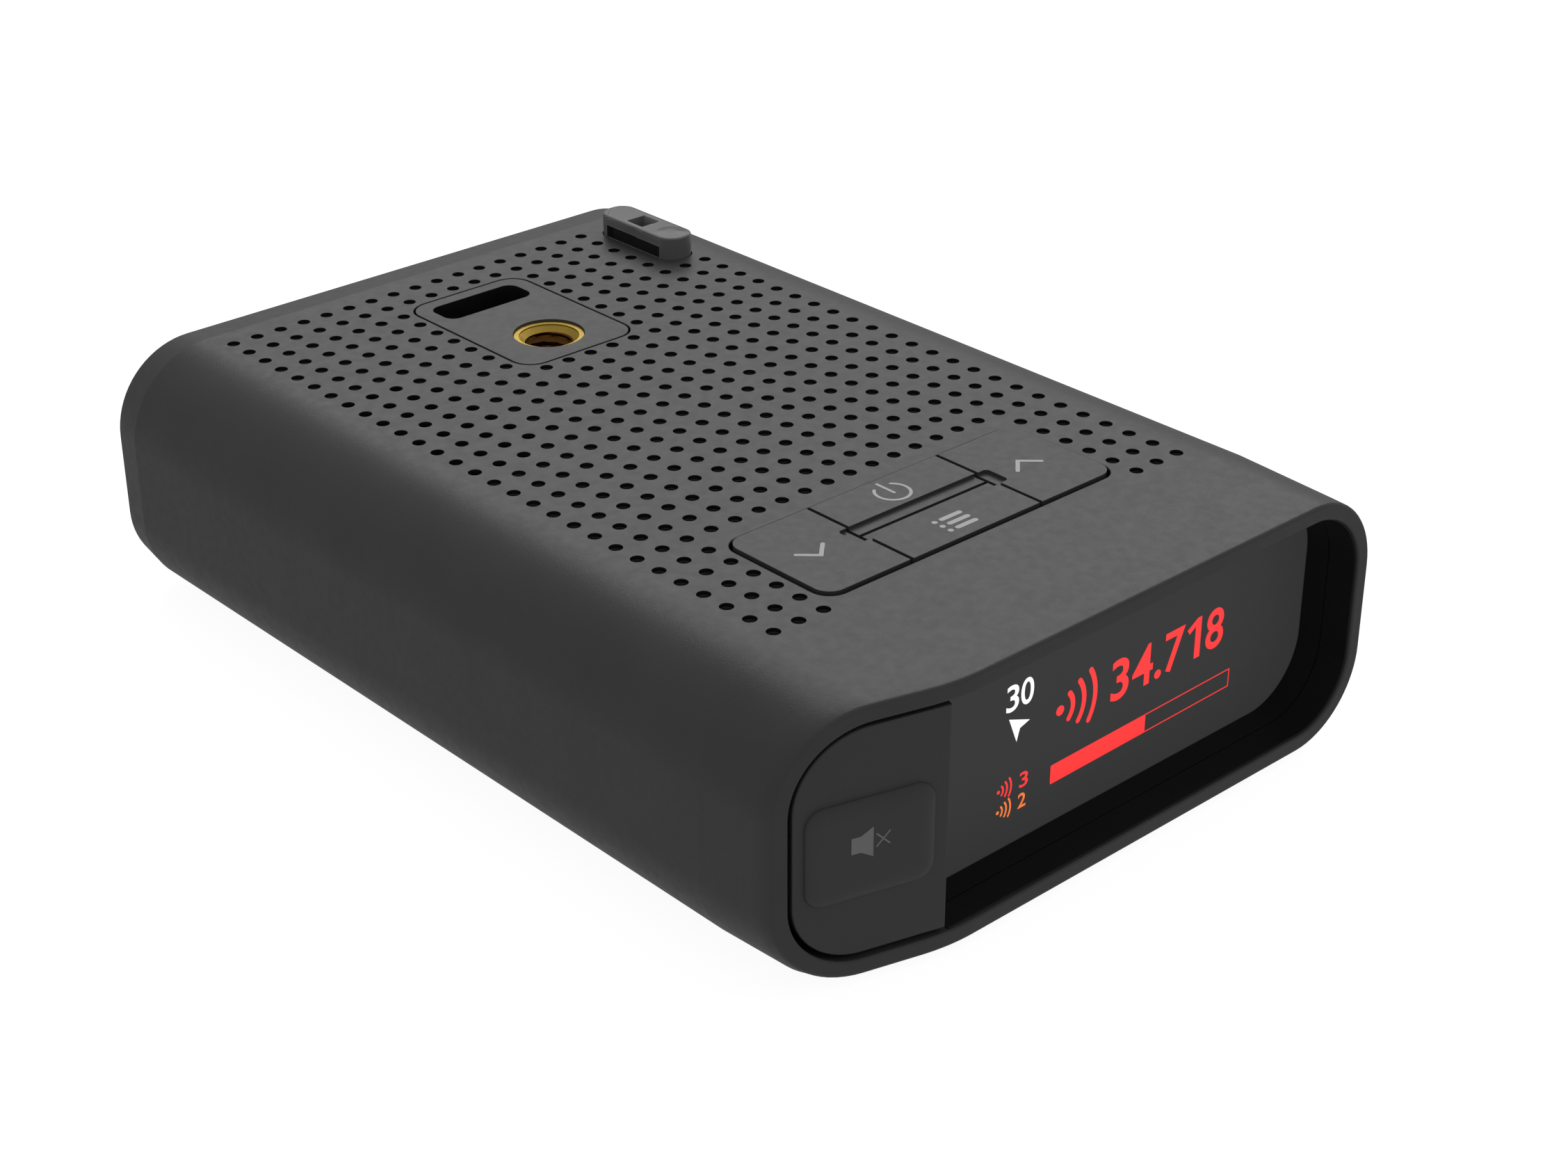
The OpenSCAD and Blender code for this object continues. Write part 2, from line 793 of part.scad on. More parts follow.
module radio_board() {
    color(board_green) difference() {
        slab(horn_x - 12, radio_y, horn_z - 6.5, horn_x + 12, radio_y + 1.2, horn_z + 6.5);
        for (s = [-1, 1]) translate([horn_x + s * 10.2, 20, horn_z + 4.4]) rotate([-90, 0, 0])
            cylinder(d = 1.8, h = 10);
    }
}

module radio_shield() {
    color(steel) slab(horn_x - 7.5, radio_y - 2.1, horn_z - 5, horn_x + 7.5, radio_y, horn_z + 5);
}

laser_x = -19.2;
laser_z = 12.6;
laser_d = 15;
laser_bore = 12.8;

module at_laser(y) {
    translate([laser_x, y, laser_z]) rotate([-90, 0, 0]) children();
}

module laser_housing() {
    color(black) {
        difference() {
            at_laser(34) cylinder(d = laser_d, h = 16.4);
            at_laser(33) cylinder(d = laser_bore, h = 19);
        }
        difference() {
            slab(laser_x - 6, 36, wall, laser_x + 6, 48, laser_z - 5);
            at_laser(33) cylinder(d = laser_d - 0.4, h = 19);
        }
    }
}

module laser_lens() {
    color([0.35, 0.1, 0.12, 0.6]) {
        at_laser(47.4) cylinder(d = laser_bore, h = 1.6);
        intersection() {
            at_laser(33.4) translate([0, 0, 3]) sphere(r = 15, $fn = 96);
            at_laser(48.9) cylinder(d = laser_bore, h = 4);
        }
    }
}

module laser_sensor() {
    color([0.15, 0.1, 0.18]) {
        at_laser(34.4) cylinder(d = laser_bore, h = 1.2);
        slab(laser_x - 2.5, 35.5, laser_z - 2.5, laser_x + 2.5, 37, laser_z + 2.5);
    }
}

// ---------------------------------------------------------------- jack and port

module power_jack() {
    x0 = half_w - wall - 12;
    x1 = half_w - wall - 0.3;
    color(black) difference() {
        slab(x0, jack_y - 6.4, board_top, x1, jack_y + 6.4, jack_z + 4.6);
        slab(x0 + 1.5, jack_y - 4.9, jack_z - 3.6, half_w, jack_y + 4.9, jack_z + 3);
        slab(x0 + 3, jack_y - 1.7, jack_z + 2.9, half_w, jack_y + 1.7, jack_z + 3.9);
    }
}

module jack_contacts() {
    color(gold)
        for (k = [-1.5 : 1 : 1.5])
            slab(half_w - wall - 10.5, jack_y + k * 1.3 - 0.2, jack_z - 3.6,
                 half_w - wall - 5, jack_y + k * 1.3 + 0.2, jack_z - 3.1);
}

module data_port() {
    x0 = half_w - wall - 5.6;
    color(steel) difference() {
        slab(x0, port_y - 4, board_top, half_w - wall - 0.1, port_y + 4, port_z + 1.6);
        slab(x0 + 0.5, port_y - 3.7, board_top + 0.3, half_w, port_y + 3.7, port_z + 1.3);
    }
    color(black)
        slab(x0 + 0.5 - EPS, port_y - 2.6, port_z - 0.5, half_w - wall - 1, port_y + 2.6, port_z + 0.1);
}

// ---------------------------------------------------------------- what is drawn

upper_housing();
bottom_cover();
cover_screws();
rating_label();
road_window();
display_bezel();
display_window();
display_frame();
display_panel();
display_board();
display_ribbon();
mute_button();
mute_dome();
mute_switch();
mute_board();
mute_bracket();
mount_block();
mount_insert();
mount_bracket();
mount_screws();
power_key();
menu_key();
down_key();
up_key();
key_membrane();
key_switches();
keypad_board();
keypad_screws();
rear_lens();
rear_lens_seal();
rear_sensor();
rear_sensor_board();
main_board();
board_screws();
processor();
memory_chips();
shield_can();
capacitors();
inductor();
satellite_antenna();
cell_clip();
backup_cell();
speaker_frame();
speaker_cone();
speaker_magnet();
speaker_gasket();
horn_antenna();
horn_screws();
radio_board();
radio_shield();
laser_housing();
laser_lens();
laser_sensor();
power_jack();
jack_contacts();
data_port();
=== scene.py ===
"""Looks of the radar detector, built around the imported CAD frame. Lengths are in millimetres
until a mesh is made, in the frame's axes: X right, +Y towards the road, Z up."""
import json
import math

import bmesh
import bpy
from mathutils import Matrix, Vector, geometry


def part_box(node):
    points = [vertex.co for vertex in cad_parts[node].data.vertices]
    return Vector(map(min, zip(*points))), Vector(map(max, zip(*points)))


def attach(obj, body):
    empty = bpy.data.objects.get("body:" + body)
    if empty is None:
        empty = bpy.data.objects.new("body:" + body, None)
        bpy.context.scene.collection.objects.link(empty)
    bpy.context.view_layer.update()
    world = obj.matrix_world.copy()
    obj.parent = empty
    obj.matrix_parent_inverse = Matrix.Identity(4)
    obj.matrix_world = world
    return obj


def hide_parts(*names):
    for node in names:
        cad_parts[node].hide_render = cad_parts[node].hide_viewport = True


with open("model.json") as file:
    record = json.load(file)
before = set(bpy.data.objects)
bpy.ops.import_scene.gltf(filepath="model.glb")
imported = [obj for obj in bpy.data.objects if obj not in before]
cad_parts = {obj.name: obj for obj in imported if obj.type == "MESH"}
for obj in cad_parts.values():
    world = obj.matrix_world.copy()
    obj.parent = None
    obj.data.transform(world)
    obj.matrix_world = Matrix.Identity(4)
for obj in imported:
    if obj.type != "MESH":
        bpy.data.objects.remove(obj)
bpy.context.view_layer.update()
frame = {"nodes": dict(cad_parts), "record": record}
MM = 0.001


def box_mm(node):
    """Lowest and highest corner of a CAD node, in millimetres."""
    low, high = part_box(node)
    return [v / MM for v in low], [v / MM for v in high]


# ---------------------------------------------------------------- sizes
BODY_LOW, BODY_HIGH = box_mm("upper_housing")
HALF_W, REAR_Y, BODY_H = BODY_HIGH
FRONT_Y = BODY_LOW[1]
TOP_R, BOTTOM_R, WALL = 10.4, 9.8, 2.4
END_INSET, FRONT_TAPER, REAR_TAPER = 0.6, 14.0, 4.4
FRONT_CREASE, REAR_CREASE = FRONT_Y + FRONT_TAPER, REAR_Y - REAR_TAPER
FLAT_TOP_X, FLAT_BOTTOM_X = HALF_W - TOP_R, HALF_W - BOTTOM_R
CEILING_Z = BODY_H - WALL
SWEEP_ANGLE, SWEEP_X, SWEEP_BLEND = math.radians(15.8), 21.2, 3.0
SWEEP_SIN, SWEEP_COS = math.sin(SWEEP_ANGLE), math.cos(SWEEP_ANGLE)
ARC_STEPS = 18

# Grille
PITCH_X, PITCH_Y, COLUMNS, ROWS, ROW0_Y = 3.1, 3.2, 19, 29, 49.5
HOLE_R, HOLE_DEPTH, HOLE_STEPS = 0.71, 0.5, 20

# Seat of the display window inside the rim
SEAT_X = box_mm("display_window")[0][0] - 0.1
SEAT_Y0 = box_mm("display_bezel")[0][1] - 0.05
SEAT_Y1, SEAT_INSET = SEAT_Y0 + 7.2, WALL - 0.9
WINDOW_Y = box_mm("display_window")[0][1]

# Openings: cover underneath, jack and data port on the right
COVER_X, COVER_Y0, COVER_Y1 = 33.45, -45.15, 52.15
JACK = (-11.1, -0.9, 12.5, 20.3)
PORT = (-26.1, -17.9, 11.6, 15.0)


# ---------------------------------------------------------------- outlines
def arc(cx, cy, r, start, end, steps):
    """Points on an arc, angles in degrees."""
    angles = [math.radians(start + (end - start) * i / steps) for i in range(steps + 1)]
    return [(cx + r * math.cos(a), cy + r * math.sin(a)) for a in angles]


def circle(cx, cy, r, steps):
    return arc(cx, cy, r, 0, 360, steps)[:-1]


def round_polygon(corners, steps=5):
    """A counter-clockwise polygon whose corners (x, y, radius) are rounded."""
    out = []
    for i, (x, y, r) in enumerate(corners):
        here = Vector((x, y))
        a = (Vector(corners[i - 1][:2]) - here).normalized()
        b = (Vector(corners[(i + 1) % len(corners)][:2]) - here).normalized()
        half = a.angle(b) / 2
        if r <= 0 or half < 0.01:
            out.append((x, y))
            continue
        centre = here + (a + b).normalized() * (r / math.sin(half))
        start = here + a * (r / math.tan(half)) - centre
        end = here + b * (r / math.tan(half)) - centre
        turn = start.angle_signed(end)
        for k in range(steps + 1):
            angle = -turn * k / steps
            c, s = math.cos(angle), math.sin(angle)
            out.append((centre.x + start.x * c - start.y * s, centre.y + start.x * s + start.y * c))
    return out


def round_rect(x0, y0, x1, y1, r, steps=8):
    return round_polygon([(x0, y0, r), (x1, y0, r), (x1, y1, r), (x0, y1, r)], steps)


def inset(points, d):
    """A counter-clockwise outline moved inwards by d."""
    out = []
    for i, p in enumerate(points):
        a = (Vector(p) - Vector(points[i - 1])).normalized()
        b = (Vector(points[(i + 1) % len(points)]) - Vector(p)).normalized()
        n1, n2 = Vector((-a.y, a.x)), Vector((-b.y, b.x))
        m = (n1 + n2).normalized()
        q = Vector(p) + m * (d / max(m.dot(n1), 0.3))
        out.append((q.x, q.y))
    return out


def fill(outer, holes, extra=()):
    """Triangles of a flat convex region less its convex holes, as (points, triangles)."""
    points, edges, owner = [], [], []
    for number, loop in enumerate([outer] + list(holes)):
        first = len(points)
        points += [Vector(p) for p in loop]
        owner += [number] * len(loop)
        edges += [(first + k, first + (k + 1) % len(loop)) for k in range(len(loop))]
    points += [Vector(p) for p in extra]
    owner += [0] * len(extra)
    out = geometry.delaunay_2d_cdt(points, edges, [], 0, 1e-5)
    kept = []
    for tri in out[2]:
        owners = {owner[out[3][v][0]] for v in tri}
        if len(owners) > 1 or owners == {0}:
            kept.append(tuple(tri))
    return [(p.x, p.y) for p in out[0]], kept


# ---------------------------------------------------------------- mesh building
class Build:
    """Gathers points in millimetres and faces, and makes one piece of them."""

    def __init__(self):
        self.points, self.faces = [], []

    def add(self, points, faces):
        first = len(self.points)
        self.points += [tuple(p) for p in points]
        self.faces += [tuple(first + v for v in f) for f in faces]

    def loops(self, rings, cap_start=False, cap_end=False):
        """A skin through rings of equal length."""
        n = len(rings[0])
        faces = []
        for r in range(len(rings) - 1):
            for k in range(n):
                a, b = r * n + k, r * n + (k + 1) % n
                faces.append((a, b, b + n, a + n))
        if cap_start:
            faces.append(tuple(range(n)))
        if cap_end:
            faces.append(tuple(range((len(rings) - 1) * n, len(rings) * n)))
        self.add([p for ring in rings for p in ring], faces)

    def flat(self, outer, holes, z, extra=()):
        points, tris = fill(outer, holes, extra)
        self.add([(x, y, z) for x, y in points], tris)

    def piece(self, name, body, slot, material, replaces=(), sharp=38, creases=(), merge=0.002):
        mesh = bpy.data.meshes.new(name)
        mesh.from_pydata([Vector(p) * MM for p in self.points], [], self.faces)
        bm = bmesh.new()
        bm.from_mesh(mesh)
        bmesh.ops.remove_doubles(bm, verts=bm.verts, dist=merge * MM)
        bmesh.ops.dissolve_degenerate(bm, dist=merge * MM / 2, edges=bm.edges)
        bmesh.ops.recalc_face_normals(bm, faces=bm.faces)
        bm.to_mesh(mesh)
        bm.free()
        return finish_piece(name, mesh, body, material, replaces, sharp, creases)


def set_normals(mesh, sharp, creases):
    """Shading normals that keep flat faces flat: round each corner, faces within the sharp angle
    count by the squared area of their plane."""
    face_normals = [p.normal.copy() for p in mesh.polygons]
    areas = [p.area / MM ** 2 for p in mesh.polygons]
    around = [[] for _ in mesh.vertices]
    for face in mesh.polygons:
        for v in face.vertices:
            around[v].append(face.index)
    centres = [p.center.y for p in mesh.polygons]
    limit = math.cos(math.radians(sharp))
    lines = [next((y * MM for y in creases if abs(v.co.y - y * MM) < 2e-6), None) for v in mesh.vertices]
    normals = []
    for face in mesh.polygons:
        own = face_normals[face.index]
        for v in face.vertices:
            planes = []
            for f in around[v]:
                if face_normals[f].dot(own) < limit:
                    continue
                if lines[v] is not None and (centres[f] > lines[v]) != (centres[face.index] > lines[v]):
                    continue
                for plane in planes:
                    if plane[0].dot(face_normals[f]) > 0.99999:
                        plane[1] += areas[f]
                        break
                else:
                    planes.append([face_normals[f], areas[f]])
            total = sum((n * area ** 2 for n, area in planes), Vector())
            normals.append(total.normalized() if total.length > 1e-12 else own)
    mesh.shade_smooth()
    mesh.normals_split_custom_set(normals)


def finish_piece(name, mesh, body, material, replaces=(), sharp=38, creases=()):
    """Shading normals, material and body."""
    set_normals(mesh, sharp, creases)
    obj = bpy.data.objects.new(name, mesh)
    bpy.context.scene.collection.objects.link(obj)
    mesh.materials.append(material)
    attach(obj, body)
    if replaces:
        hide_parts(*replaces)
    return obj


def softened(node, body, material, width, segments=3, shrink=0.0):
    """The CAD node's own shape with its edges rounded, in place of the plain node. It may be drawn
    in a little at the sides, which widens the shadow gap round it."""
    bm = bmesh.new()
    bm.from_mesh(frame["nodes"][node].data)
    low, high = (Vector(corner) * MM for corner in box_mm(node))
    for v in bm.verts:
        for k in (0, 1):
            middle, half = (low[k] + high[k]) / 2, (high[k] - low[k]) / 2
            v.co[k] = middle + (v.co[k] - middle) * (half - shrink * MM) / half
    bmesh.ops.remove_doubles(bm, verts=bm.verts, dist=1e-6)
    bmesh.ops.dissolve_limit(bm, angle_limit=math.radians(1), verts=bm.verts, edges=bm.edges)
    edges = [e for e in bm.edges if len(e.link_faces) == 2 and e.calc_face_angle(0) > math.radians(40)]
    bmesh.ops.bevel(bm, geom=edges, offset=width * MM, offset_type="OFFSET", segments=segments,
                    profile=0.5, affect="EDGES", clamp_overlap=True)
    mesh = bpy.data.meshes.new(node + "_shape")
    bm.to_mesh(mesh)
    bm.free()
    return finish_piece(node + "_shape", mesh, body, material, (node,))


# ---------------------------------------------------------------- materials
class Shader:
    """A Principled material with procedural helpers. Texture positions are in the frame's metres."""

    def __init__(self, name, **sockets):
        self.mat = bpy.data.materials.new(name)
        self.mat.use_nodes = True
        self.tree = self.mat.node_tree
        self.tree.nodes.clear()
        self.bsdf = self.tree.nodes.new("ShaderNodeBsdfPrincipled")
        out = self.tree.nodes.new("ShaderNodeOutputMaterial")
        self.tree.links.new(self.bsdf.outputs[0], out.inputs[0])
        for socket, value in sockets.items():
            self.bsdf.inputs[socket.replace("_", " ")].default_value = value
        self.where = self.tree.nodes.new("ShaderNodeTexCoord").outputs["Object"]

    def node(self, kind, inputs=(), **settings):
        made = self.tree.nodes.new("ShaderNode" + kind)
        for key, value in settings.items():
            setattr(made, key, value)
        for key, value in dict(inputs).items():
            if isinstance(value, bpy.types.NodeSocket):
                self.tree.links.new(value, made.inputs[key])
            else:
                made.inputs[key].default_value = value
        return made

    def noise(self, scale, detail=2.0, stretch=(1, 1, 1)):
        where = self.node("Mapping", {"Vector": self.where, "Scale": stretch}).outputs[0]
        return self.node("TexNoise", {"Vector": where, "Scale": scale, "Detail": detail}).outputs[0]

    def ramp(self, value, stops):
        made = self.node("ValToRGB", {"Fac": value})
        ramp = made.color_ramp
        for k, (place, colour) in enumerate(stops):
            stop = ramp.elements[k] if k < 2 else ramp.elements.new(place)
            stop.position = place
            stop.color = (*colour, 1) if hasattr(colour, "__len__") else (colour,) * 3 + (1,)
        return made.outputs[0]

    def spread(self, value, low, high):
        return self.node("MapRange", {"Value": value, "From Min": 0.3, "From Max": 0.7,
                                      "To Min": low, "To Max": high}).outputs[0]

    def edges(self, strength, width):
        """Up to the given strength within the width of an edge, and 0 elsewhere."""
        rounded = self.node("Bevel", {"Radius": width * MM}, samples=4).outputs[0]
        plain = self.node("NewGeometry").outputs["Normal"]
        facing = self.node("VectorMath", {0: rounded, 1: plain}, operation="DOT_PRODUCT").outputs["Value"]
        return self.ramp(facing, [(0.9, strength), (0.985, 0.0)])

    def mix(self, fac, a, b):
        made = self.node("Mix", data_type="RGBA")
        for socket, value in ((made.inputs[0], fac), (made.inputs[6], a), (made.inputs[7], b)):
            if isinstance(value, bpy.types.NodeSocket):
                self.tree.links.new(value, socket)
            else:
                socket.default_value = value
        return made.outputs[2]

    def set(self, socket, value):
        self.tree.links.new(value, self.bsdf.inputs[socket])

    def bump(self, height, distance, strength=1.0):
        made = self.node("Bump", {"Height": height, "Distance": distance, "Strength": strength})
        self.set("Normal", made.outputs[0])


def scaled(colour, k):
    return tuple(min(c * k, 1.0) for c in colour)


def plastic(name, base, rough, grain=5200.0, grain_depth=0.02, mottle=0.05, edge_wear_and_highlight=0.3, **sockets):
    """Moulded plastic: fine sparked grain, faint mottling, slightly polished lighter edges."""
    sh = Shader(name, **sockets)
    tone = sh.ramp(sh.noise(130, 4), [(0.3, scaled(base, 1 - mottle)), (0.7, scaled(base, 1 + mottle))])
    sh.set("Base Color", sh.mix(sh.edges(edge_wear_and_highlight, 0.12), tone, (*scaled(base, 1.9), 1)))
    sh.set("Roughness", sh.spread(sh.noise(900, 3), rough - 0.05, rough + 0.05))
    sh.bump(sh.noise(grain, 2), grain_depth * MM)
    return sh.mat


def metal(name, base, rough, streak=(1, 1, 1), scale=900.0, depth=0.01, **sockets):
    """Bare or plated metal with fine tool marks, smudges and dull spots."""
    sh = Shader(name, Metallic=1.0, **sockets)
    sh.set("Base Color", sh.ramp(sh.noise(260, 4), [(0.3, scaled(base, 0.82)), (0.65, base)]))
    marks = sh.noise(scale, 3, streak)
    sh.set("Roughness", sh.spread(marks, rough - 0.08, rough + 0.1))
    sh.bump(marks, depth * MM)
    return sh.mat


def rubber(name, base, rough=0.75):
    sh = Shader(name, Sheen_Weight=0.2)
    sh.set("Base Color", sh.ramp(sh.noise(400, 4), [(0.3, scaled(base, 0.85)), (0.7, scaled(base, 1.1))]))
    sh.set("Roughness", sh.spread(sh.noise(1500, 2), rough - 0.06, rough + 0.08))
    sh.bump(sh.noise(3000, 4), 0.03 * MM)
    return sh.mat


def board(name):
    """Green solder mask over copper tracks, with bare gold pads."""
    sh = Shader(name, Coat_Weight=0.5, Coat_Roughness=0.15)
    cell = sh.node("TexVoronoi", {"Vector": sh.where, "Scale": 420.0}, feature="DISTANCE_TO_EDGE")
    cells = cell.outputs[0]
    track = sh.ramp(cells, [(0.03, (0.03, 0.16, 0.07)), (0.06, (0.012, 0.085, 0.04))])
    dots = sh.node("TexVoronoi", {"Vector": sh.where, "Scale": 260.0}).outputs[0]
    pad = sh.ramp(dots, [(0.07, 1.0), (0.09, 0.0)])
    sh.set("Base Color", sh.mix(pad, track, (0.72, 0.52, 0.2, 1)))
    sh.set("Roughness", sh.spread(sh.noise(1200, 2), 0.35, 0.5))
    sh.bump(cells, 0.03 * MM)
    return sh.mat


def tinted(name, base, rough, edge_wear_and_highlight=0.0, **sockets):
    """Tinted clear plastic with faint smears and dust, lighter along its edges: a painted highlight."""
    sh = Shader(name, **sockets)
    tone = sh.ramp(sh.noise(90, 3), [(0.3, scaled(base, 0.93)), (0.7, scaled(base, 1.07))])
    # painted highlight: the colour is lighter within 0.3 mm of an edge
    sh.set("Base Color", sh.mix(sh.edges(edge_wear_and_highlight, 0.3), tone, (*scaled(base, 2.0), 1)))
    smear = sh.noise(160, 4, (1, 3, 1))
    sh.set("Roughness", sh.spread(smear, rough, rough + 0.06))
    sh.bump(sh.noise(700, 2), 0.002 * MM)
    return sh.mat


def lit(name, colour, strength):
    """Lit display pixels: a fine grid of emitters."""
    sh = Shader(name, Base_Color=(*scaled(colour, 0.4), 1), Roughness=0.4, Emission_Color=(*colour, 1))
    cell = sh.node("TexVoronoi", {"Vector": sh.where, "Scale": 9000.0, "Randomness": 0.0}).outputs[0]
    sh.set("Emission Strength", sh.spread(cell, strength * 1.04, strength * 0.9))
    return sh.mat


GREY = (0.078, 0.078, 0.079)
HOUSING = plastic("housing_plastic", GREY, 0.38)
TRIM = plastic("trim_plastic", scaled(GREY, 0.98), 0.38, grain=7000.0, grain_depth=0.012)
# dark plastic of the liner and the power jack; on the housing's hole walls and in the mount slot it is
# painted shade
LINER_AND_PAINTED_SHADE = plastic("liner_plastic", (0.012, 0.012, 0.0122), 0.45, grain_depth=0.008, edge_wear_and_highlight=0.1,
                Specular_IOR_Level=0.4)
LABEL = plastic("label_film", (0.36, 0.36, 0.37), 0.42, grain=2500.0, grain_depth=0.004, edge_wear_and_highlight=0.0)
CHIP = plastic("chip_epoxy", (0.014, 0.014, 0.015), 0.55, grain_depth=0.01)
SLEEVE = plastic("capacitor_sleeve", (0.02, 0.02, 0.05), 0.3, grain_depth=0.004)
CERAMIC = plastic("ceramic", (0.5, 0.43, 0.3), 0.6, mottle=0.1)
FLEX = plastic("polyimide", (0.5, 0.2, 0.03), 0.3, grain_depth=0.004)
ICON = plastic("icon_ink", (0.8, 0.8, 0.81), 0.6, grain_depth=0.004, mottle=0.03, edge_wear_and_highlight=0.0)
ICON_DIM = plastic("icon_ink_dim", (0.33, 0.33, 0.335), 0.6, grain_depth=0.004, mottle=0.03, edge_wear_and_highlight=0.0)
# painted light: a faint white emission brightens the window glass evenly
WINDOW = tinted("window_glass", (0.03, 0.03, 0.031), 0.45, Specular_IOR_Level=0.2,
                Emission_Color=(1, 1, 1, 1), Emission_Strength=0.03)
ROAD_GLASS = tinted("road_window_glass", (0.012, 0.009, 0.013), 0.08, Coat_Weight=0.6, Coat_Roughness=0.03)
DISPLAY = tinted("display_face", (0.01, 0.01, 0.012), 0.2)
# the smoke lens gets lighter edges, a painted highlight
SMOKE = tinted("smoke_lens", (0.33, 0.33, 0.335), 0.16, 0.8, Specular_IOR_Level=0.25,
               Transmission_Weight=0.4, IOR=1.5)
SMOKE_DARK = tinted("smoke_filter", (0.012, 0.012, 0.013), 0.3)
RED_LENS = tinted("red_lens", (0.22, 0.01, 0.02), 0.05, Transmission_Weight=0.5, IOR=1.5)
BRASS = metal("brass", (0.72, 0.5, 0.1), 0.42, streak=(1, 1, 6), scale=2200.0, depth=0.01)
# painted shade: a darker copy of the brass for the thread inside the bore
BRASS_PAINTED_SHADE = metal("brass_thread_painted_shade", (0.2, 0.09, 0.02), 0.3, scale=2600.0, depth=0.04)
STEEL = metal("steel", (0.58, 0.58, 0.6), 0.32, streak=(1, 8, 1))
BLACK_STEEL = metal("black_screws", (0.05, 0.05, 0.055), 0.42)
ZINC = metal("cast_zinc", (0.42, 0.42, 0.44), 0.5, scale=1600.0, depth=0.05)
GOLD = metal("gold_contacts", (0.86, 0.62, 0.24), 0.22)
SILICONE = rubber("silicone", (0.4, 0.4, 0.38), 0.6)
FOAM = rubber("foam", (0.012, 0.012, 0.012), 0.95)
CONE = rubber("speaker_paper", (0.02, 0.02, 0.021), 0.9)
BOARD = board("circuit_board")
RED_LIGHT = lit("red_segments", (1.0, 0.042, 0.042), 1.0)
WHITE_LIGHT = lit("white_segments", (1.0, 1.0, 1.0), 1.0)
ORANGE_LIGHT = lit("orange_segments", (0.9, 0.2, 0.045), 1.0)

SLOT_MATERIALS = {
    "housing_plastic": HOUSING, "trim_plastic": TRIM, "liner_plastic": LINER_AND_PAINTED_SHADE,
    "window_glass": WINDOW, "road_window_glass": ROAD_GLASS, "display_face": DISPLAY,
    "circuit_board": BOARD, "brass": BRASS, "steel": STEEL, "black_screws": BLACK_STEEL,
    "silicone": SILICONE, "foam": FOAM, "smoke_lens": SMOKE, "red_lens": RED_LENS,
    "chip_epoxy": CHIP, "capacitor_sleeve": SLEEVE, "ceramic": CERAMIC, "cast_zinc": ZINC,
    "speaker_paper": CONE, "gold_contacts": GOLD, "polyimide": FLEX, "label_film": LABEL,
}
NODE_SLOT = {s["node"]: s["material_slot"] for s in frame["record"]["subparts"]}


# ---------------------------------------------------------------- housing
def rim_y(x):
    """How far forward the rim reaches at x, with the swept left corner."""
    u = -SWEEP_X - x
    if u < -SWEEP_BLEND:
        return FRONT_Y
    if u > SWEEP_BLEND:
        return FRONT_Y + u * math.tan(SWEEP_ANGLE)
    return FRONT_Y + (u + SWEEP_BLEND) ** 2 / (4 * SWEEP_BLEND) * math.tan(SWEEP_ANGLE)


def section_columns():
    """Places round the cross section as functions of how far they are drawn in, each with
    whether the window's seat is cut there."""
    columns = []

    def on_arc(side, top, angle_of):
        cx = side * (FLAT_TOP_X if top else FLAT_BOTTOM_X)
        cz = BODY_H - TOP_R if top else BOTTOM_R
        radius = TOP_R if top else BOTTOM_R

        def place(d):
            a = angle_of(radius - d)
            up = 1 if top else -1
            return cx + side * (radius - d) * math.cos(a), cz + up * (radius - d) * math.sin(a)
        return place

    def arc_places(side, top):
        """From the side to the flat, ends left out. The column on an opening's edge swings round as
        it is drawn in, and the others make room for it."""
        angles = [math.pi / 2 * k / ARC_STEPS for k in range(1, ARC_STEPS)]
        if top and side < 0:
            return [(on_arc(side, top, lambda r, a=a: a), False) for a in angles]
        if top:
            edge, radius = lambda r: math.asin((JACK[3] - BODY_H + TOP_R) / r), TOP_R
        else:
            edge, radius = lambda r: math.acos((COVER_X - FLAT_BOTTOM_X) / r), BOTTOM_R
        home = edge(radius)

        def swing(a):
            share = a / home if a <= home else (math.pi / 2 - a) / (math.pi / 2 - home)
            return lambda r: a + (edge(r) - home) * share
        return [(on_arc(side, top, swing(a)), side > 0) for a in sorted([*angles, home])]

    blend = [-SWEEP_X + SWEEP_BLEND * k / 6 for k in range(-6, 7)]

    def flat_places(edge, z_of):
        xs = [(x, x > SEAT_X) for x in [-edge, *blend, 0, edge]] + [(SEAT_X, False), (SEAT_X, True)]
        return [(lambda d, x=x: (x, z_of(d)), seat) for x, seat in sorted(xs)]

    def side_places(side, zs):
        return [(lambda d, z=z: (side * (HALF_W - d), z), side > 0) for z in zs]

    columns += flat_places(FLAT_TOP_X, lambda d: BODY_H - d)
    columns += arc_places(1, True)[::-1]
    columns += side_places(1, [BODY_H - TOP_R, PORT[3], JACK[2], PORT[2], BOTTOM_R])
    columns += arc_places(1, False)
    columns += flat_places(FLAT_BOTTOM_X, lambda d: d)[::-1]
    columns += arc_places(-1, False)[::-1]
    columns += side_places(-1, [BOTTOM_R, BODY_H - TOP_R])
    columns += arc_places(-1, True)
    return columns


def covered(i, j):
    """True where a grille place lies under the mount plate, the keypad or the rear lens."""
    return (7 <= i <= 11 and 2 <= j <= 8) or (3 <= i <= 15 and j >= 23) or (i >= 17 and j <= 4)


def over_speaker(i, j):
    return i < 4 and math.hypot(i - 1, (j - 10.5) * PITCH_Y / PITCH_X) < 3.95


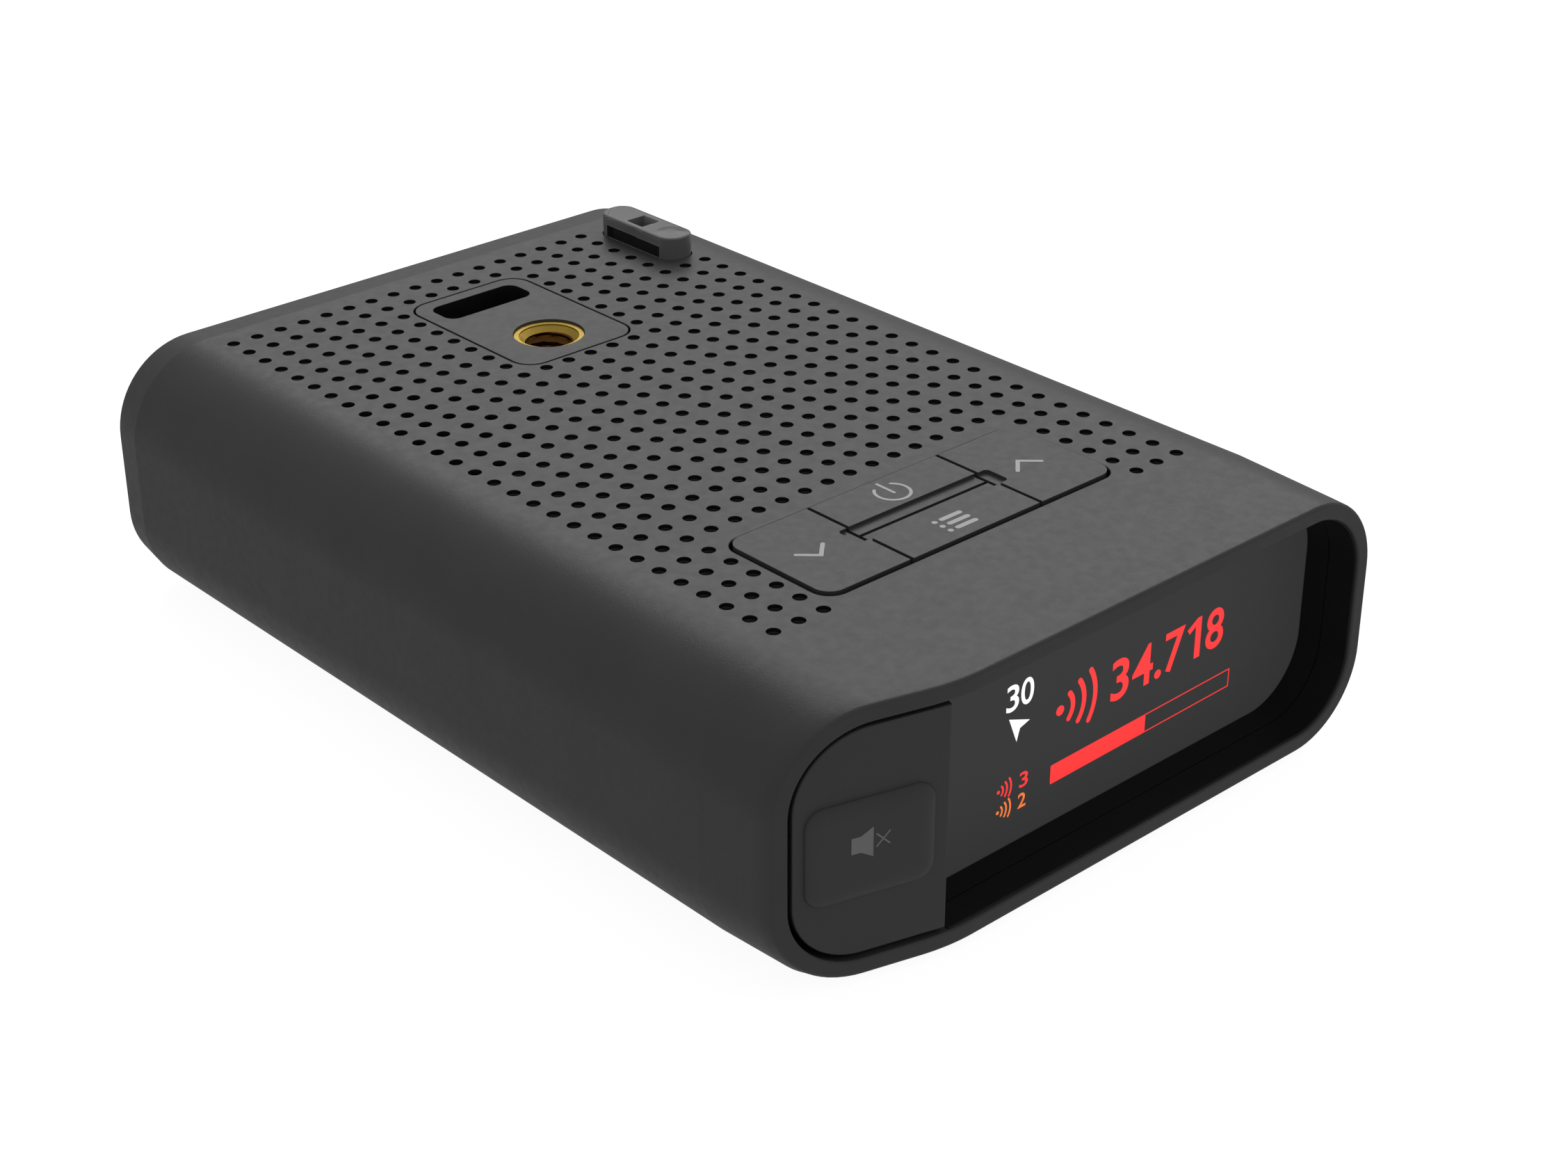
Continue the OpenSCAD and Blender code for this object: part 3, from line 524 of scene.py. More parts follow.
def housing_openings():
    pad = round_rect(-PAD_X, PAD_Y0, PAD_X, PAD_Y1, 2.2)
    (mx0, my0, _), (mx1, my1, _) = MOUNT_TOP
    mount = round_rect(mx0 - MOUNT_GAP, my0 - MOUNT_GAP, mx1 + MOUNT_GAP, my1 + MOUNT_GAP, 2.5 + MOUNT_GAP)
    lens = round_rect(LENS[0] - 0.1, LENS[1] - 0.1, LENS[2] + 0.1, LENS[3] + 0.1, 2.0)
    return [(pad, 0.16), (mount, 0.1), (lens, 0.08)]


PAD_X, PAD_Y0, PAD_Y1 = 20.2, -39.14, -23.94
MOUNT_GAP = 0.24
KEY_SHRINK, PLATE_SHRINK = 0.08, 0.12
MOUNT_TOP = ((-7.8, 22.0, BODY_H), (7.8, 44.6, BODY_H))
LENS = (24.1, 35.5, 28.5, 49.3)


def build_housing():
    build = Build()
    columns = section_columns()
    stations = [REAR_CREASE, COVER_Y1, JACK[1], JACK[0], PORT[1], PORT[0], FRONT_CREASE,
                COVER_Y0, SEAT_Y1, -47.0]
    back = stations[-1]

    def taper(y):
        if y < FRONT_CREASE:
            return END_INSET * (FRONT_CREASE - y) / FRONT_TAPER
        return END_INSET * max(0.0, y - REAR_CREASE) / REAR_TAPER

    def fixed(y, d):
        return lambda place, seat: (place(d)[0], y, place(d)[1])

    def seated(y_of, cut):
        def point(place, seat):
            d = SEAT_INSET if cut and seat else WALL
            x, z = place(d)
            return x, y_of(x), z
        return point

    def at_rim(d, step):
        def point(place, seat):
            x, z = place(d)
            return x, rim_y(x) + step, z
        return point

    def sheared(t):
        def point(place, seat):
            x, z = place(END_INSET)
            y = back + (rim_y(x) + front_r - back) * t
            x, z = place(taper(y))
            return x, y, z
        return point

    front_r, inner_r, rear_r = 0.45, 0.25, 0.25
    quarter = [math.pi / 2 * k / 4 for k in range(5)]
    chain = []
    chain += [(None, fixed(REAR_Y - rear_r * (1 - math.sin(a)), END_INSET + rear_r * (1 - math.cos(a))))
              for a in quarter[::-1]]
    chain += [(("outer", j), fixed(y, taper(y))) for j, y in enumerate(stations)]
    chain += [(None, sheared(t)) for t in (0.3, 0.6, 0.85)]
    chain += [(None, at_rim(END_INSET + front_r * (1 - math.cos(a)), front_r * (1 - math.sin(a))))
              for a in quarter]
    chain += [(None, at_rim(WALL - inner_r * (1 - math.sin(a)), inner_r * (1 - math.cos(a))))
              for a in quarter]
    seat_y = lambda x: max(SEAT_Y0, rim_y(x) + 0.6)
    chain += [(None, seated(seat_y, False)), (None, seated(seat_y, True))]
    chain += [(None, seated(lambda x: SEAT_Y1, True))]
    chain += [(("inner", j), fixed(y, WALL)) for j, y in list(enumerate(stations))[-2::-1]]
    chain += [(None, fixed(REAR_Y - rear_r * (1 - math.cos(a)), WALL - rear_r * (1 - math.sin(a))))
              for a in quarter[::-1]]

    count = len(columns)
    points = [point(place, seat) for _, point in chain for place, seat in columns]
    index = {label: c for c, (label, _) in enumerate(chain) if label}
    middles = []
    for k in range(count):
        (x0, z0), (x1, z1) = columns[k][0](0), columns[(k + 1) % count][0](0)
        middles.append(((x0 + x1) / 2, (z0 + z1) / 2))

    def opening_at(j, k):
        """Which opening holds the cell between stations j and j + 1 and columns k and k + 1."""
        if not 0 <= j < len(stations) - 1:
            return None
        y = (stations[j] + stations[j + 1]) / 2
        x, z = middles[k % count]
        if z > BODY_H - 0.001 and FRONT_CREASE < y < REAR_CREASE:
            return "top"
        if z < 5 and abs(x) < COVER_X and COVER_Y0 < y < COVER_Y1:
            return "cover"
        for name, (y0, y1, z0, z1) in (("jack", JACK), ("port", PORT)):
            if x > HALF_W / 2 and y0 < y < y1 and z0 < z < z1:
                return name
        return None

    faces = []
    for c in range(len(chain)):
        after = (c + 1) % len(chain)
        a, b = chain[c][0], chain[after][0]
        same = a and b and a[0] == b[0]
        for k in range(count):
            if same and opening_at(min(a[1], b[1]), k):
                continue
            k1 = (k + 1) % count
            faces.append((c * count + k, c * count + k1, after * count + k1, after * count + k))
    for j in range(len(stations) - 1):
        for k in range(count):
            kind = opening_at(j, k)
            if kind in (None, "top"):
                continue
            sides = (((j, k), (j, k + 1), (j - 1, k)), ((j + 1, k), (j + 1, k + 1), (j + 1, k)),
                     ((j, k), (j + 1, k), (j, k - 1)), ((j, k + 1), (j + 1, k + 1), (j, k + 1)))
            for (ja, ka), (jb, kb), beyond in sides:
                if opening_at(*beyond) == kind:
                    continue
                outer = [index["outer", ja] * count + ka % count, index["outer", jb] * count + kb % count]
                inner = [index["inner", jb] * count + kb % count, index["inner", ja] * count + ka % count]
                faces.append(tuple(outer + inner))
    build.add(points, faces)

    on_top = [x for x, z in (place(0) for place, _ in columns) if z > BODY_H - 0.001]
    flat_xs = sorted({round(x, 6) for x in on_top if abs(x) <= FLAT_TOP_X + 0.001})
    ys = sorted(y for y in stations if FRONT_CREASE < y < REAR_CREASE)
    rim = [(x, FRONT_CREASE) for x in flat_xs] + [(FLAT_TOP_X, y) for y in ys]
    rim += [(x, REAR_CREASE) for x in flat_xs[::-1]] + [(-FLAT_TOP_X, y) for y in ys[::-1]]
    top_holes, ceiling_holes = [], []
    for outline, lip in housing_openings():
        rings = []
        for k in range(4):
            a = math.pi / 2 * k / 3
            z = BODY_H - lip * (1 - math.cos(a))
            rings.append([(x, y, z) for x, y in inset(outline, -lip * (1 - math.sin(a)))])
        rings.append([(x, y, CEILING_Z) for x, y in outline])
        build.loops(rings)
        top_holes.append([p[:2] for p in rings[0]])
        ceiling_holes.append(outline)
    for i in range(COLUMNS):
        for j in range(ROWS):
            if covered(i, j):
                continue
            x, y = (i - (COLUMNS - 1) / 2) * PITCH_X, ROW0_Y - j * PITCH_Y
            through = over_speaker(i, j)
            edge = 0.045
            profile = [(HOLE_R + edge, 0), (HOLE_R + edge * 0.3, edge * 0.3), (HOLE_R, edge)]
            if through:
                profile.append((HOLE_R, WALL))
            else:
                profile += [(HOLE_R, HOLE_DEPTH - 0.08), (HOLE_R - 0.1, HOLE_DEPTH)]
            rings = [[(px, py, BODY_H - depth) for px, py in circle(x, y, r, HOLE_STEPS)]
                     for r, depth in profile]
            build.loops(rings, cap_end=not through)
            top_holes.append(circle(x, y, HOLE_R + edge, HOLE_STEPS))
            if through:
                ceiling_holes.append(circle(x, y, HOLE_R, HOLE_STEPS))
    build.flat(rim, top_holes, BODY_H)
    build.flat(rim, ceiling_holes, CEILING_Z)
    for x, y, z0, r in CEILING_BOSSES:
        build.loops([[(px, py, z) for px, py in circle(x, y, r, 20)] for z in (z0, CEILING_Z + 0.3)],
                    cap_start=True, cap_end=True)
    shell = build.piece("housing_shell", "body", "housing_plastic", HOUSING, ("upper_housing",),
                creases=(FRONT_CREASE, REAR_CREASE))
    shell.data.materials.append(LINER_AND_PAINTED_SHADE)
    # painted shade: the walls of the holes and gaps are painted darker than the skin, to match how they look
    for face in shell.data.polygons:
        x, y, z = (v / MM for v in face.center)
        over = abs(x) < FLAT_TOP_X and FRONT_CREASE < y < REAR_CREASE
        if over and CEILING_Z + 0.01 < z < BODY_H - 0.2:
            face.material_index = 1


CEILING_BOSSES = [(s * 12.8, y, 20.9, 2.3) for s in (-1, 1) for y in (29.5, 43.5)]
CEILING_BOSSES += [(s * 23.6, -31.54, 23.1, 2.0) for s in (-1, 1)]
build_housing()


# ---------------------------------------------------------------- keys
KEY_TOP = box_mm("power_key")[1][2]
PAD_MIDDLE = (PAD_Y0 + PAD_Y1) / 2
KEYS = {"power_key": "power_button", "menu_key": "menu_button",
        "down_key": "down_button", "up_key": "up_button"}
INK = 0.02


def stroke(points, width, steps=6):
    """Outline of a line drawn through points with round ends."""
    sides, n = ([], []), len(points)
    for i, p in enumerate(points):
        ahead = (Vector(points[min(i + 1, n - 1)]) - Vector(p)).normalized()
        behind = (Vector(p) - Vector(points[max(i - 1, 0)])).normalized()
        along = (ahead + behind).normalized()
        normal = Vector((-along.y, along.x))
        reach = width / 2 / max(along.dot(ahead if i < n - 1 else behind), 0.4)
        sides[0].append(Vector(p) + normal * reach)
        sides[1].append(Vector(p) - normal * reach)

    def cap(at, edge):
        start = edge - Vector(at)
        turns = [math.pi * k / steps for k in range(1, steps)]
        return [Vector(at) + Matrix.Rotation(-a, 2) @ start for a in turns]
    outline = sides[0] + cap(points[-1], sides[0][-1]) + sides[1][::-1] + cap(points[0], sides[1][0])
    return [tuple(p) for p in outline[::-1]]


def plane_point(u, v, w):
    return u, v, w


def ink_piece(name, body, outlines, level, material, slot, place=plane_point, thickness=INK):
    """Flat printed or lit marks: each outline as a thin plate from just under level up."""
    build = Build()
    for outline in outlines:
        build.loops([[place(u, v, level + w) for u, v in outline] for w in (-thickness, thickness)],
                    cap_start=True, cap_end=True)
    return build.piece(name, body, slot, material, sharp=30, merge=0.0005)


def key_icons():
    cx, cy = -0.29, PAD_MIDDLE
    ring_y, ring_r, line = cy + 4.22, 1.84, 0.34
    ink_piece("power_icon", "power_button",
              [stroke(arc(cx, ring_y, ring_r, 128, 412, 40), line),
               stroke([(cx, ring_y - 0.25), (cx, ring_y + 2.25)], line)], KEY_TOP, ICON, "trim_plastic")
    rows = [cy - 3.4, cy - 4.5, cy - 5.6]
    marks = [circle(cx - 1.77, y, 0.31, 16) for y in rows]
    marks += [stroke([(cx - 0.78, y), (cx + 1.66, y)], 0.6) for y in rows]
    ink_piece("menu_icon", "menu_button", marks, KEY_TOP, ICON, "trim_plastic")
    for name, body, x, tip in (("down_icon", "down_button", -14.87, -1), ("up_icon", "up_button", 14.08, 1)):
        y = cy - 0.12
        chevron = [(x - 1.76, y - 0.82 * tip), (x, y + 0.84 * tip), (x + 1.76, y - 0.82 * tip)]
        ink_piece(name, body, [stroke(chevron, 0.44)], KEY_TOP, ICON, "trim_plastic")


for key, key_body in KEYS.items():
    softened(key, key_body, TRIM, 0.05, 2, KEY_SHRINK)
key_icons()


# ---------------------------------------------------------------- mount plate and insert
SLOT = (-5.95, 38.5, 5.95, 43.0)
INSERT_Y, INSERT_R, THREAD_R, THREAD_DEPTH, THREAD_PITCH = 28.2, 4.03, 2.56, 0.5, 1.27
INSERT_TOP = box_mm("mount_insert")[1][2]
INSERT_LOW = box_mm("mount_insert")[0][2]


def build_mount():
    plate = softened("mount_block", "body", TRIM, 0.06, 2)
    plate.data.materials.append(LINER_AND_PAINTED_SHADE)
    # painted shade: the walls inside the mount slot take the dark liner colour
    for face in plate.data.polygons:
        x, y, z = (v / MM for v in face.center)
        inside = SLOT[0] - 0.02 < x < SLOT[2] + 0.02 and SLOT[1] - 0.02 < y < SLOT[3] + 0.02
        if inside and z < BODY_H - 0.1:
            face.material_index = 1

    build = Build()
    steps, per_turn = 64, 10
    start, end = INSERT_TOP - 0.75, INSERT_LOW + 0.1
    profile = [(INSERT_R, INSERT_LOW), (INSERT_R, INSERT_TOP - 0.08), (INSERT_R - 0.08, INSERT_TOP),
               (3.42, INSERT_TOP), (3.38, INSERT_TOP - 0.04), (3.36, INSERT_TOP - 0.2),
               (3.3, INSERT_TOP - 0.22), (THREAD_R + 0.18, start)]
    rings = [[(x, y, z) for x, y in circle(0, INSERT_Y, r, steps)] for r, z in profile]
    count = int((start - end) / THREAD_PITCH * per_turn)
    for k in range(1, count + 1):
        z = start + (end - start) * k / count
        ring = []
        for i in range(steps):
            phase = (z / THREAD_PITCH - i / steps) % 1
            r = THREAD_R + THREAD_DEPTH * min(1, max(0, 2.6 * abs(phase - 0.5) - 0.15))
            a = 2 * math.pi * i / steps
            ring.append((r * math.cos(a), INSERT_Y + r * math.sin(a), z))
        rings.append(ring)
    rings.append([(x, y, INSERT_LOW) for x, y in circle(0, INSERT_Y, THREAD_R + 0.4, steps)])
    rings.append(rings[0])
    build.loops(rings)
    insert = build.piece("threaded_insert", "body", "brass", BRASS, ("mount_insert",), sharp=32)
    insert.data.materials.append(BRASS_PAINTED_SHADE)
    # painted shade: the thread faces inside the bore take the darker brass
    for face in insert.data.polygons:
        x, y, z = (v / MM for v in face.center)
        if math.hypot(x, y - INSERT_Y) < THREAD_R + THREAD_DEPTH + 0.05 and z < start:
            face.material_index = 1


build_mount()


# ---------------------------------------------------------------- mute button
PLATE_FRONT, PLATE_BACK, PLATE_RIGHT, PLATE_INSET = 0.3, 1.9, -0.5, 2.8
RAISED = (-15.3, 9.2, -2.0, 19.7)
RAISED_R, RAISED_H, RAISED_EDGE = 2.0, 0.8, 1.9


def swept(u, v, w=0.0):
    """Frame of the swept face: u along it, v up, w out of it, towards the driver."""
    return -SWEEP_X + u * SWEEP_COS - w * SWEEP_SIN, FRONT_Y - u * SWEEP_SIN - w * SWEEP_COS, v


def plate_outline():
    top, bottom = TOP_R - PLATE_INSET - PLATE_SHRINK, BOTTOM_R - PLATE_INSET - PLATE_SHRINK
    section = arc(-FLAT_TOP_X, BODY_H - TOP_R, top, 90, 180, ARC_STEPS)
    section += arc(-FLAT_BOTTOM_X, BOTTOM_R, bottom, 180, 270, ARC_STEPS)
    along = [((x + SWEEP_X - PLATE_FRONT * SWEEP_SIN) / SWEEP_COS, z) for x, z in section]
    upper = (PLATE_RIGHT, BODY_H - PLATE_INSET - PLATE_SHRINK)
    lower = (PLATE_RIGHT, PLATE_INSET + PLATE_SHRINK)
    return [upper, *along, lower]


def build_mute():
    build = Build()
    outline = plate_outline()
    fillet = 0.2

    def ring(points, w):
        return [swept(u, v, w) for u, v in points]
    rings = [ring(outline, -PLATE_BACK)]
    for k in range(5):
        a = math.pi / 2 * k / 4
        points = inset(outline, fillet * (1 - math.cos(a))) if k else outline
        rings.append(ring(points, -PLATE_FRONT - fillet * (1 - math.sin(a))))
    build.loops(rings, cap_start=True)

    base = round_rect(*RAISED, RAISED_R, 10)
    rings = [ring(inset(base, -0.12), -PLATE_FRONT), ring(inset(base, -0.04), -PLATE_FRONT + 0.015)]
    for k in range(12):
        t = (k / 11) ** 1.7
        height = RAISED_H * math.sqrt(max(0.0, 1 - (1 - t) ** 2.4))
        rings.append(ring(inset(base, RAISED_EDGE * t), -PLATE_FRONT + 0.03 + (height - 0.03) * min(1, k)))
    build.loops(rings, cap_end=True)
    points, faces = fill(inset(outline, fillet), [inset(base, -0.12)])
    build.add(ring(points, -PLATE_FRONT), faces)

    skirt_y = box_mm("mute_button")[1][1]
    left, right = swept(PLATE_RIGHT - 1.1, 0, -1.0), swept(PLATE_RIGHT, 0, -0.9)
    footprint = [(left[0], left[1]), (right[0], right[1]), (right[0], skirt_y), (left[0], skirt_y)]
    skirt_z = (PLATE_INSET + 0.25, BODY_H - PLATE_INSET - 0.25)
    build.loops([[(x, y, z) for x, y in footprint] for z in skirt_z], cap_start=True, cap_end=True)
    stem = round_rect(-11.5, 13, -8.5, 16, 0.3, 3)
    build.loops([ring(stem, -PLATE_BACK + 0.01), ring(stem, -3.4)], cap_start=True, cap_end=True)
    build.piece("mute_plate", "mute", "housing_plastic", HOUSING, ("mute_button",), sharp=50)

    speaker = [(-10.9, 14.45), (-9.95, 14.45), (-8.68, 13.72),
               (-8.68, 16.85), (-9.95, 16.15), (-10.9, 16.15)]
    x, z, reach, split = -7.68, 15.32, 0.66, 0.08
    cross = [stroke([(x - reach, z - reach), (x + reach, z + reach)], 0.15, 4)]
    cross += [stroke([(x - s * reach, z + s * reach), (x - s * split, z + s * split)], 0.15, 4)
              for s in (1, -1)]
    level = RAISED_H - PLATE_FRONT
    ink_piece("mute_icon", "mute", [speaker] + cross, level, ICON_DIM, "housing_plastic", swept)


build_mute()


# ---------------------------------------------------------------- display recess
def section_path(x0, d):
    """The cross section drawn in by d, from x0 on the top round the right side to x0 underneath."""
    path = [(x0, BODY_H - d), (0, BODY_H - d)]
    path += arc(FLAT_TOP_X, BODY_H - TOP_R, TOP_R - d, 90, 0, ARC_STEPS)
    path += arc(FLAT_BOTTOM_X, BOTTOM_R, BOTTOM_R - d, 0, -90, ARC_STEPS)
    return path + [(0, d), (x0, d)]


def build_liner():
    """Black liner: a skin along the rim's inner wall, a fine groove, and the ring in front of
    the window."""
    low, high = box_mm("display_bezel")
    x0, groove = low[0], 0.1
    skin, wall = WALL + 0.12, WALL + 0.01
    front = FRONT_Y + 0.34
    profile = [(wall, front), (skin - 0.05, front), (skin, front + 0.05), (skin, low[1] - groove),
               (WALL - 0.1, low[1] - groove), (WALL - 0.1, low[1]), (skin, low[1]),
               (skin, high[1] - 0.1), (skin - 0.1, high[1]), (WALL - 0.8, high[1]),
               (WALL - 0.8, low[1] + 0.02), (WALL - 0.2, low[1] + 0.02),
               (wall - 0.1, low[1] - groove - 0.05)]
    build = Build()
    rings = []
    for d, y in profile:
        swept_part = y < low[1] - 1
        rings.append([(x, y + (rim_y(x) - FRONT_Y if swept_part else 0), z)
                      for x, z in section_path(x0, d)])
    n, m = len(rings), len(rings[0])
    faces = [(k * m + i, k * m + i + 1, (k + 1) % n * m + i + 1, (k + 1) % n * m + i)
             for k in range(n) for i in range(m - 1)]
    faces += [tuple(k * m for k in range(n)), tuple(k * m + m - 1 for k in range(n))]
    build.add([p for ring in rings for p in ring], faces)
    build.piece("display_liner", "body", "liner_plastic", LINER_AND_PAINTED_SHADE, ("display_bezel",), merge=0.0005)


def lettering(text, x0, x1, z0, z1, bold=0.0):
    """Outlines of digits from the built-in font, stretched over a box of the display."""
    curve = bpy.data.curves.new("digits", "FONT")
    curve.body = text
    curve.offset = bold
    curve.resolution_u = 6
    holder = bpy.data.objects.new("digits", curve)
    bpy.context.scene.collection.objects.link(holder)
    evaluated = holder.evaluated_get(bpy.context.evaluated_depsgraph_get())
    mesh = bpy.data.meshes.new_from_object(evaluated)
    bpy.data.objects.remove(holder)
    xs = [v.co.x for v in mesh.vertices]
    ys = [v.co.y for v in mesh.vertices]
    kx, kz = (x1 - x0) / (max(xs) - min(xs)), (z1 - z0) / (max(ys) - min(ys))
    points = [(x0 + (v.co.x - min(xs)) * kx, z0 + (v.co.y - min(ys)) * kz) for v in mesh.vertices]
    faces = [tuple(p.vertices) for p in mesh.polygons]
    bpy.data.meshes.remove(mesh)
    return points, faces


DISPLAY_SLOPE = 0.0175
DISPLAY_Y = WINDOW_Y - 0.01


def on_display(u, v, w=0.0):
    return u, DISPLAY_Y - w, v + DISPLAY_SLOPE * u


def shown(name, material, texts=(), shapes=()):
    """Lit marks on the display: digits and outlines as thin plates."""
    build = Build()
    for points, faces in texts:
        n = len(points)
        edges = {}
        for face in faces:
            for k, a in enumerate(face):
                b = face[(k + 1) % len(face)]
                edges[a, b] = edges.get((a, b), 0) + 1
        walls = [(a, b, b + n, a + n) for a, b in edges if (b, a) not in edges]
        layers = [on_display(u, v, w) for w in (0, INK) for u, v in points]
        build.add(layers, [f[::-1] for f in faces] + [tuple(v + n for v in f) for f in faces] + walls)
    for outline in shapes:
        rings = [[on_display(u, v, w) for u, v in outline] for w in (0, INK)]
        build.loops(rings, cap_start=True, cap_end=True)
    piece = build.piece(name, "body", "display_face", material, sharp=30, merge=0.0005)
    piece.visible_diffuse = False
    piece.visible_glossy = False


def waves(x0, x1, z0, z1):
    """A generic signal mark: a dot with three arcs opening to the right."""
    h = z1 - z0
    x, z = x0 + 0.1 * h, z0 + h / 2
    reach = (x1 - x) * 0.96
    marks = [circle(x + 0.06 * h, z, 0.12 * h, 16)]
    for k, r in enumerate((0.38, 0.67, 0.96)):
        marks.append(stroke(arc(x, z, r * reach, -42 + 5 * k, 42 - 5 * k, 14), 0.13 * h, 5))
    return marks


def pointer(x, z, r):
    """A generic heading mark: a dart that points to the upper left."""
    return [[(x - r, z + r), (x - 0.2 * r, z - r), (x + 0.08 * r, z - 0.08 * r), (x + r, z + 0.2 * r)]]


def one(x0, x1, z0, z1, weight=0.4):
    """The digit 1 with its flag."""
    w, h = (x1 - x0) * weight, z1 - z0
    return [(x1 - w, z0), (x1, z0), (x1, z1), (x1 - 0.7 * w, z1), (x0, z1 - 0.2 * h),
            (x0 + 0.42 * w, z1 - 0.32 * h), (x1 - w, z1 - 0.19 * h)]


def build_display():
    low, high = 12.5, 17.15
    digits = [("3", 7.3, 9.9), ("4", 10.45, 13.5), (".", 13.85, 14.85),
              ("7", 15.3, 18.25), ("8", 21.65, 24.4)]
    texts = [lettering(d, x0, x1, low, low + 1 if d == "." else high, 0.014) for d, x0, x1 in digits]
    shown("display_reading", RED_LIGHT, texts, waves(-0.85, 5.4, low, high) + [one(18.65, 20.8, low, high)])
    bar = (-1.05, 26.0, 6.85, 8.98)
    line = 0.11
    split = 12.9
    rim = [(split, bar[2], bar[1], bar[2] + line), (split, bar[3] - line, bar[1], bar[3]),
           (bar[1] - line, bar[2] + line, bar[1], bar[3] - line)]
    solid = round_rect(bar[0], bar[2], split, bar[3], 0.12, 3)
    boxes = [[(x0, z0), (x1, z0), (x1, z1), (x0, z1)] for x0, z0, x1, z1 in rim]
    shown("display_bar", RED_LIGHT, shapes=[solid] + boxes)
    heading = [lettering("3", -7.8, -6.1, 17.6, 20.5, 0.01),
               lettering("0", -5.8, -4.05, 17.6, 20.5, 0.01)]
    shown("display_heading", WHITE_LIGHT, heading, pointer(-5.9, 15.4, 1.45))
    shown("display_count_red", RED_LIGHT, [lettering("3", -5.5, -4.3, 8.35, 10.05, 0.01)],
          waves(-8.7, -6.5, 8.35, 10.05))
    shown("display_count_orange", ORANGE_LIGHT, [lettering("2", -5.6, -4.5, 6.05, 7.7, 0.01)],
          waves(-8.7, -6.5, 6.05, 7.7))


build_liner()
build_display()


# ---------------------------------------------------------------- rear lens
LENS_LOW, LENS_HIGH = box_mm("rear_lens")
LENS_X, LENS_Y, LENS_W, LENS_L, LENS_R = 26.3, 42.4, 4.4, 13.8, 1.9
FILTER_Y0, FILTER_Y1, FILTER_Z0, FILTER_Z1 = 37.45, 47.35, 29.75, 31.1
PIT = (24.75, 41.4, 27.5, 44.3)


def build_lens():
    top = LENS_HIGH[2]
    x0, x1 = LENS_X - LENS_W / 2, LENS_X + LENS_W / 2
    y0, y1 = LENS_Y - LENS_L / 2, LENS_Y + LENS_L / 2
    outline = round_rect(x0, y0, x1, y1, LENS_R, 8)
    side = [y for y in (FILTER_Y1, FILTER_Y1 - 0.25, 43.0, 42.0, 41.6, 40.4, FILTER_Y0 + 0.25, FILTER_Y0)]
    outline += [(x0, y) for y in side]

    def layer(z, d=0.0, cut=None, depth=0.0):
        points = inset(outline, d) if d else list(outline)
        ring = []
        for x, y in points:
            on_side = x < x0 + 0.3 and FILTER_Y0 - 0.01 <= y <= FILTER_Y1 + 0.01
            if cut and on_side and any(a - 0.01 <= y <= b + 0.01 for a, b in cut):
                x += depth
            ring.append((x, y, z))
        return ring
    window = [(FILTER_Y0 + 0.25, FILTER_Y1 - 0.25)]
    nearer = [(42.0, FILTER_Y1)]
    grooves = [(FILTER_Y0, 40.4), (43.0, FILTER_Y1)]
    fillet = 0.35
    rings = [layer(LENS_LOW[2]), layer(FILTER_Z0 - 0.02), layer(FILTER_Z0, 0, window, 0.45),
             layer(FILTER_Z1, 0, window, 0.45), layer(FILTER_Z1 + 0.02, 0, nearer, 0.1),
             layer(top - 0.42, 0, nearer, 0.1), layer(top - 0.4, 0, grooves, 0.2),
             layer(top - 0.3, 0, grooves, 0.2)]
    for k in range(5):
        a = math.pi / 2 * k / 4
        rings.append(layer(top - 0.1 - fillet * 0.5 * (1 - math.sin(a)), 0.02 + fillet * (1 - math.cos(a))))
    build = Build()
    build.loops(rings, cap_start=True)
    pit = round_rect(*PIT, 0.12, 3)
    bump = round_rect(x0 + 0.5, 35.95, x1 - 0.5, 39.6, 1.5, 8)
    surface = top - 0.1
    levels = [(0, 0.04), (0.04, 0), (1.45, 0)]
    build.loops([[(x, y, surface - drop) for x, y in inset(pit, -edge)] for drop, edge in levels],
                cap_end=True)
    rings = []
    for k in range(8):
        t = k / 8
        rings.append([(x, y, surface + 0.1 * math.sin(math.pi / 2 * t)) for x, y in inset(bump, 1.4 * t)])
    build.loops(rings, cap_end=True)
    cap = [p[:2] for p in layer(surface, 0.02 + fillet)]
    cap = [cap[0]] + [b for a, b in zip(cap, cap[1:]) if math.dist(a, b) > 0.003]
    build.flat(cap, [inset(pit, -0.04), bump], surface)
    lens = build.piece("smoked_lens", "body", "smoke_lens", SMOKE, ("rear_lens",), sharp=40)
    lens.data.materials.append(SMOKE_DARK)
    for face in lens.data.polygons:
        x, y, z = (v / MM for v in face.center)
        if x < x0 + 0.46 and FILTER_Y0 < y < FILTER_Y1 and FILTER_Z0 - 0.01 < z < FILTER_Z1 + 0.005:
            face.material_index = 1


build_lens()


# ---------------------------------------------------------------- parts seen from other sides
softened("bottom_cover", "body", HOUSING, 0.16)
softened("cover_screws", "body", BLACK_STEEL, 0.1)
softened("road_window", "body", ROAD_GLASS, 0.2)
softened("rating_label", "body", LABEL, 0.03)
softened("power_jack", "body", LINER_AND_PAINTED_SHADE, 0.12)
softened("data_port", "body", STEEL, 0.08)


# ---------------------------------------------------------------- carried-over nodes
for node, obj in frame["nodes"].items():
    if not obj.hide_render:
        obj.data.materials.clear()
        obj.data.materials.append(SLOT_MATERIALS[NODE_SLOT[node]])


